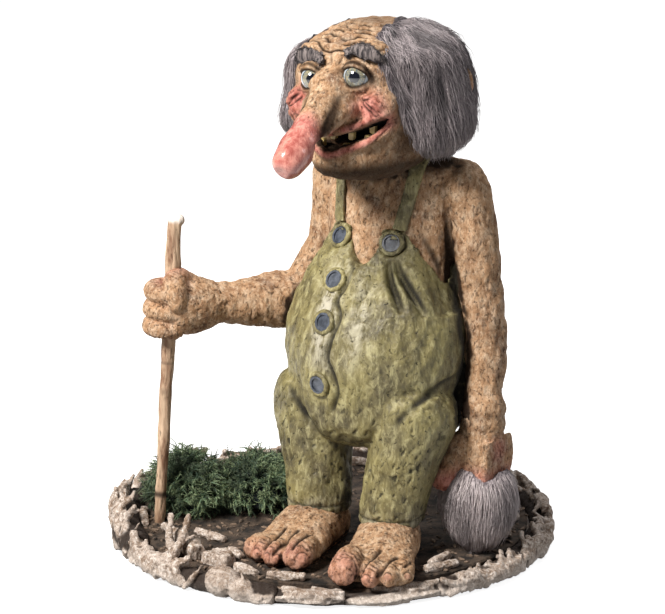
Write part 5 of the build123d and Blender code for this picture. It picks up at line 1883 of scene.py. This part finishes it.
class MakeDriftwood(bpy.types.Operator):
    """Makes the rim of driftwood: roots, bark strips, layered slabs and a stone"""

    bl_idname = "troll.make_driftwood"
    bl_label = "Driftwood rim"

    # Distance of the rim's core from the middle of the base, in mm
    core_radius = 115.5
    # How high the wood's underside stays above the floor, in mm
    lowest = 0.6
    # Node, its bearings in degrees, its height in mm and how its wood is laid
    lengths = (
        ("left_bark_root", 200, 236, 27.0, "roots"),
        ("left_rim_root", 236, 262, 16.0, "roots"),
        ("rim_stone", 262, 288, 15.0, "stone"),
        ("front_slab_left", 288, 307, 9.0, "slabs"),
        ("front_slab_right", 307, 334, 8.0, "slabs"),
        ("right_front_bark", 334, 361, 13.0, "strips"),
        ("right_rim_bark", 1, 29, 18.0, "strips"),
        ("back_right_bark", 29, 63, 17.0, "roots"),
        ("back_right_root", 63, 97, 16.0, "strips"),
        ("back_rim_bark", 97, 131, 17.0, "roots"),
        ("back_left_root", 131, 165, 16.0, "strips"),
        ("back_left_bark", 165, 200, 20.0, "roots"),
    )

    def execute(self, context):
        for seed, (node, start, end, height, style) in enumerate(self.lengths):
            chance = random.Random(900 + seed)
            add = getattr(self, "add_" + style)
            thickness = height * 0.26 + 1.4
            core = []
            for share in (0.02, 0.25, 0.5, 0.75, 0.98):
                bearing = start + share * (end - start)
                core.append(round_base(bearing, self.core_radius, 1.2 + height * 0.28))

            def pieces(form):
                add_roll(form, core, [thickness] * 3)
                add(form, start, end, height, chance)

            clay = Clay(fused(node + "_wood", (), 0.8, 2, pieces, True))
            middle = math.radians((start + end) / 2)
            along = (-math.sin(middle), math.cos(middle), 0.0)
            grain = along if style == "slabs" else UP
            if style == "stone":
                clay.rough_up(6.0, 0.8, seed=71.0 + seed)
                clay.rough_up(2.0, 0.35, seed=73.0 + seed, how="ridged")
            else:
                clay.rough_up(7.0, 0.45, grain, 2.5, seed=71.0 + seed)
                clay.rough_up(2.2, 0.45, grain, 6.0, seed=73.0 + seed, how="grooved")
            clay.points[:, 2] = np.maximum(clay.points[:, 2], self.lowest)
            # The core under the pieces is painted dark: painted shade in the gaps between them
            gap = clay.near(np.array(core))[0]
            clay.brush(ramp(gap, thickness + 1.6, -1.6), wash=0.9)
            clay.settle_wash_and_shade(2.6)
            # Painted shade where the pieces of wood stand close in front of one another
            clay.paint_occlusion_shade(tree_of(clay.mesh), 9.0, 0.95, 0.5)
            slot = "stone" if style == "stone" else "driftwood"
            clay.finished(node + "_wood", self.finish(style), slot, node)
        return {"FINISHED"}

    @staticmethod
    def finish(style):
        if style == "stone":
            return driftwood("rim_stone", colors(), 0.5)
        return material("driftwood", lambda: driftwood("driftwood", colors(), 0.85))

    def add_roots(self, form, start, end, height, chance):
        """Crooked roots, thick and thin, that climb slantwise over the rim and one another."""
        for outer in (117.0, 119.5, 121.5):
            bearing = start - 1.5
            while bearing < end - 3:
                first, last = bearing, min(bearing + chance.uniform(9, 26), end + 1.5)
                low, high = chance.uniform(2.0, 4.5), height * chance.uniform(0.55, 1.12)
                if chance.random() < 0.4:
                    first, last = last, first
                crook = height * chance.uniform(-0.22, 0.3)
                rising = low * 0.5 + high * 0.5 + crook
                easing = low * 0.3 + high * 0.7 - crook * 0.5
                points = (
                    round_base(first, outer + chance.uniform(-1.5, 0.8), low),
                    round_base(first * 0.66 + last * 0.34, outer + 0.6, rising),
                    round_base(first * 0.33 + last * 0.67, outer, easing),
                    round_base(last, outer - chance.uniform(0, 6), high),
                )
                thickness = chance.uniform(1.5, 3.4)
                widths = [2 * thickness * share for share in (1.1, 0.95, 0.85, 0.5)]
                depths = [width * 0.8 for width in widths]
                add_plank(form, points, widths, depths, round_base(first, 1.0, 0.4), chance)
                bearing += chance.uniform(3.0, 6.5)
        for _ in range(3):
            first, last = chance.uniform(start, start + 6), chance.uniform(end - 8, end + 1)
            points = (
                round_base(first, 119.0, height * chance.uniform(0.7, 1.1)),
                round_base((first + last) / 2, 122.0, height * chance.uniform(0.4, 0.7)),
                round_base(last, 122.0, chance.uniform(2.5, 6.0)),
            )
            widths = [chance.uniform(4, 6), chance.uniform(5, 8), chance.uniform(3, 6)]
            add_plank(form, points, widths, widths, round_base(first, 1.0, 0.4), chance)

    def add_slabs(self, form, start, end, height, chance):
        """Flat planks laid one over another along the rim."""
        for _ in range(24):
            first = chance.uniform(start, start + (end - start) * 0.6)
            last = min(first + chance.uniform(7, 20), end)
            radius = chance.uniform(112.5, 121.0)
            level = chance.uniform(1.8, height)
            tilt = chance.uniform(-1.5, 1.5)
            points = (
                round_base(first, radius + chance.uniform(-2, 2), level - tilt),
                round_base((first + last) / 2, radius, level + chance.uniform(-0.6, 0.6)),
                round_base(last, radius + chance.uniform(-2, 2), level + tilt),
            )
            widths = (chance.uniform(2, 5), chance.uniform(5, 8), chance.uniform(2, 5))
            add_plank(form, points, widths, [chance.uniform(1.6, 2.6)] * 2, UP, chance)

    def add_strips(self, form, start, end, height, chance):
        """Strips of bark that run slantwise from the bed down over the rim."""
        bearing = start
        while bearing < end - 2:
            slant = chance.uniform(5, 13)
            top = height * chance.uniform(0.7, 1.1)
            stop = min(bearing + slant, end)
            points = (
                round_base(bearing, chance.uniform(120.5, 122.5), 2.2),
                round_base((bearing + stop) / 2, chance.uniform(120.5, 122.5), top * 0.6),
                round_base(stop, chance.uniform(112.5, 116.5), top),
            )
            out = round_base(bearing, 1.0, 0.5)
            widths = (chance.uniform(3, 5), chance.uniform(4, 7), chance.uniform(2, 4))
            add_plank(form, points, widths, [chance.uniform(1.5, 2.6)] * 2, out, chance)
            bearing += chance.uniform(2.2, 4.0)
        self.add_slabs(form, start, end, height * 0.5, chance)
        self.add_roots(form, start, end, height * 0.8, chance)

    def add_stone(self, form, start, end, height, chance):
        """A broken stone, with two splinters of wood leaning on it."""
        middle = (start + end) / 2
        add_bead(form, round_base(middle - 1, 116.0, 8.0), (11.0, 8.5, 8.5))
        add_bead(form, round_base(middle + 5, 117.0, 5.5), (10.0, 7.0, 7.0))
        self.add_slabs(form, middle + 4, end + 1, 5.0, chance)
        for bearing, lean in ((start + 2, 4), (end - 3, -5)):
            points = (
                round_base(bearing, 122.0, 2.4),
                round_base(bearing + lean / 2, 121.8, height * 0.5),
                round_base(bearing + lean, 117.5, height),
            )
            add_roll(form, points, (1.6, 1.4, 0.9), 0.8)


class MakeLooseWood(bpy.types.Operator):
    """Makes the wood that lies on the bed: forked root, wedge, sticks and leaning bark"""

    bl_idname = "troll.make_loose_wood"
    bl_label = "Loose wood"

    nodes = (
        "forked_root",
        "wedge_slab",
        "front_sticks",
        "left_sticks",
        "right_sticks",
        "back_sticks",
        "leaning_bark",
    )

    def execute(self, context):
        for seed, node in enumerate(self.nodes):
            more = getattr(self, "add_to_" + node, None)
            clay = Clay(fused(node + "_wood", (node,), 0.6, 2, more, True))
            middle = clay.points.mean(axis=0)
            grain = (-middle[1], middle[0], 0.0) if node.endswith("sticks") else UP
            clay.rough_up(5.0, 0.7, grain, 2.5, seed=81.0 + seed)
            clay.rough_up(1.8, 0.5, grain, 5.0, seed=83.0 + seed, how="grooved")
            clay.settle_wash_and_shade(2.4)
            clay.finished(node + "_wood", MakeDriftwood.finish("roots"), "driftwood", node)
        return {"FINISHED"}

    @staticmethod
    def add_to_forked_root(form):
        """The fork's trunk, which comes up over the rim, and its two standing branches."""
        fork = round_base(257.5, 116.0, 17.0)
        foot = round_base(257.0, 122.5, 4.0)
        add_roll(form, (foot, round_base(257.5, 121.5, 11.0), fork), (2.0, 2.2, 2.6))
        left = (fork, round_base(251.0, 110.0, 20.0), round_base(244.0, 101.0, 27.0))
        right = (fork, round_base(256.0, 108.0, 23.0), round_base(254.0, 101.0, 32.0))
        add_roll(form, left, (2.6, 2.2, 1.7))
        add_roll(form, right, (2.6, 2.1, 1.8))


class MakeGround(bpy.types.Operator):
    """Makes the dark bed of soil with its crumbs, and finishes the plinth, felt and rods"""

    bl_idname = "troll.make_ground"
    bl_label = "Ground"

    # How far out the soil reaches, in mm, and how many crumbs lie on it
    bed_radius = 109.0
    crumb_count = 900

    def execute(self, context):
        paint = colors()
        brown, dark = paint.wood_brown, paint.wood_dark
        # The soil is near black, partly as painted shade on the ground round and behind the feet
        soil = plain_finish("soil", paint.soil_and_shade_dark, paint.soil_light, 0.008, 0.95, 0.0016)
        dress(("ground_bed",), soil)
        dress(("wooden_plinth",), plain_finish("plinth_wood", dark, brown, 0.02, 0.6))
        dress(("felt_underlay",), plain_finish("felt", dark, paint.soil_light, 0.002, 0.95))
        greys = ((0.3, 0.3, 0.3), (0.42, 0.42, 0.42))
        steel = plain_finish("steel_rod", *greys, 0.01, 0.35, 0.0001, Metallic=1.0)
        dress(("left_leg_rod", "right_leg_rod"), steel)
        dress(("neck_dowel",), plain_finish("dowel", brown, paint.wood_beige, 0.01, 0.7))
        self.make_crumbs()
        return {"FINISHED"}

    def make_crumbs(self):
        """Crumbs of bark and soil over the bed, the larger ones near the rim."""
        chance = random.Random(31)
        form = bmesh.new()
        for _ in range(self.crumb_count):
            radius = self.bed_radius * math.sqrt(chance.uniform(0.02, 1.0))
            size = chance.uniform(0.5, 1.3) * (0.7 + 0.6 * radius / self.bed_radius)
            place = round_base(chance.uniform(0, 360), radius, GROUND_Z + size * 0.25)
            turn = Matrix.Rotation(chance.uniform(0, 6.3), 4, "Z")
            turn = turn @ Matrix.Rotation(chance.uniform(-0.5, 0.5), 4, "X")
            matrix = Matrix.Translation(Vector(place) * MM) @ turn
            scale = (size * chance.uniform(1.0, 3.2), size, size * chance.uniform(0.4, 0.8))
            matrix = matrix @ Matrix.Diagonal((*[length * MM for length in scale], 1.0))
            bmesh.ops.create_icosphere(form, subdivisions=1, radius=1.0, matrix=matrix)
        soil, bark = colors().soil_and_shade_dark, colors().wood_brown
        finish = plain_finish("crumbs", soil, bark, 0.004, 0.9, 0.0008)
        mesh = mesh_from(form, "ground_crumbs")
        piece_from(mesh, "ground_crumbs", finish, smooth=False)


class MakeJuniper(bpy.types.Operator):
    """Makes the two juniper clumps as hundreds of small feathery sprays"""

    bl_idname = "troll.make_juniper"
    bl_label = "Juniper"

    def execute(self, context):
        finish = needle_green(colors())
        # The sunk bed in each clump is near black: painted shade deep among the sprays
        darkest, dark = colors().pupil, colors().needle_dark
        bed_finish = plain_finish("juniper_bed", darkest, dark, 0.003, 0.9, 0.0015)
        for seed, node in enumerate(("juniper_front", "juniper_back")):
            clay = Clay(fused(node + "_bed", (node,), 1.3, 6))
            clay.points -= clay.normals * 4.5
            clay.points[:, 2] = np.maximum(clay.points[:, 2], GROUND_Z - 0.5)
            clay.rough_up(5.0, 2.0, seed=91.0)
            bed = clay.finished(node + "_bed", bed_finish, "juniper", node)
            fur = Fur(bed.data, 92 + seed)
            strands = []
            roots = fur.roots(sizes().spray_count, lambda places, normals: normals[:, 2] > -0.5)
            for root in roots:
                normal = np.array(fur.tree.find_nearest(Vector(root * MM))[1])
                stray = fur.random.normal(size=3) * 0.45
                heading = unit(normal + np.array((0, 0, 0.35)) + stray)
                bend = fur.random.normal(size=3) * 0.5 + np.array((0, 0, -0.7))
                length = fur.random.uniform(8, 15)
                self.add_spray(strands, fur.random, root - heading * 2, heading, bend, length, 2)
            strand_piece(node + "_sprays", strands, finish)
        return {"FINISHED"}

    def add_spray(self, strands, chance, root, heading, bend, length, depth):
        """A curved stem with pairs of needles, and smaller sprays that leave it sideways."""
        side = unit(np.cross(heading, chance.normal(size=3)))
        shade = chance.beta(1.5, 1.8)
        stem = []
        place = root
        for step in range(6):
            stem.append(place)
            place = place + unit(heading + bend * step / 6) * (length / 5)
        strands.append((stem, 0.34, shade))
        for index, start in enumerate(stem[1:-1]):
            ahead = unit(stem[index + 2] - start)
            for turn in (1, -1):
                out = unit(ahead * 0.9 + side * turn + chance.normal(size=3) * 0.3)
                reach = chance.uniform(1.5, 2.6)
                strands.append(([start, start + out * reach], 0.3, min(1.0, shade + 0.15)))
                if depth > 1 and index in (1, 2, 3):
                    self.add_spray(strands, chance, start, out, bend, length * 0.55, depth - 1)


class MakeStaff(bpy.types.Operator):
    """Makes the twig that is the walking staff, with its bark, knots and pale cut top"""

    bl_idname = "troll.make_staff"
    bl_label = "Walking staff"

    # The radius that the staff keeps within where it slides, in mm
    slide_radius = 4.0
    # The part of the staff, from its foot, that passes through the fist
    slide_share = 0.76
    # Each knot's share of the length from the foot, and its bearing in degrees
    knots = ((0.2, 40), (0.46, 200), (0.72, 90), (0.86, 290))
    # Dark rings: share of the length from the foot, half width as a share too, and wash
    rings = ((0.13, 0.012, 0.9), (0.55, 0.008, 0.5))
    # Where the pale cut at the top begins
    cut_share = 0.985

    def execute(self, context):
        foot, along, length = staff_line()
        clay = Clay(fused("walking_staff_twig", ("walking_staff",), 0.55, 3, self.cut_top))
        height = (clay.points - foot) @ along / length
        clay.rough_up(9.0, 0.7, along, 2.2, seed=101.0)
        clay.rough_up(2.2, 0.3, along, 6.0, seed=103.0, how="grooved")
        across = unit(np.cross(along, (1.0, 0.0, 0.0)))
        other = np.cross(along, across)
        for share, turn in self.knots:
            angle = math.radians(turn)
            out = across * math.cos(angle) + other * math.sin(angle)
            clay.dab(foot + along * share * length + out * 3.6, 3.2, 0.9, wash=0.5)
        clay.brush(ramp(height, self.cut_share, 0.01), bare=0.9)
        for share, half, amount in self.rings:
            clay.brush(np.exp(-(((height - share) / half) ** 2)), wash=amount)
        clay.kept_within(foot, along, self.slide_radius, length * self.slide_share)
        clay.settle_wash_and_shade(2.0)
        bark = twig_bark(colors())
        clay.finished("walking_staff_twig", bark, "twig", "walking_staff", body="staff")
        return {"FINISHED"}

    def cut_top(self, form):
        """The staff's end, where a side shoot was cut and left a flare."""
        foot, along, length = staff_line()
        top = foot + along * (length - 3.5)
        add_roll(form, (top - along * 9, top, top + np.array((2.2, 1.0, 2.4))), (3.6, 3.8, 3.4))


OPERATORS = (
    MakeStage,
    MakeTorso,
    MakeDungarees,
    MakeStraps,
    MakeButtons,
    MakeHead,
    MakeEyes,
    MakeTeeth,
    MakeHair,
    MakeBrows,
    MakeHands,
    MakeFeet,
    MakeTail,
    MakeDriftwood,
    MakeLooseWood,
    MakeGround,
    MakeJuniper,
    MakeStaff,
)


class TrollPanel(bpy.types.Panel):
    """Lists the sizes, the colours and a button for each piece"""

    bl_idname = "VIEW3D_PT_troll"
    bl_label = "Troll figure"
    bl_space_type = "VIEW_3D"
    bl_region_type = "UI"
    bl_category = "Troll"

    def draw(self, context):
        for operator in OPERATORS:
            self.layout.operator(operator.bl_idname)
        for group in (sizes(), colors()):
            column = self.layout.column()
            for name in group.__annotations__:
                column.prop(group, name)


CLASSES = (TrollSizes, TrollColors, *OPERATORS, TrollPanel)


def register():
    for each in CLASSES:
        bpy.utils.register_class(each)
    bpy.types.Scene.troll_sizes = PointerProperty(type=TrollSizes)
    bpy.types.Scene.troll_colors = PointerProperty(type=TrollColors)


def unregister():
    del bpy.types.Scene.troll_colors
    del bpy.types.Scene.troll_sizes
    for each in reversed(CLASSES):
        bpy.utils.unregister_class(each)


def main():
    register()
    for operator in OPERATORS:
        getattr(bpy.ops.troll, operator.bl_idname.split(".")[1])()


if __name__ == "__main__":
    main()
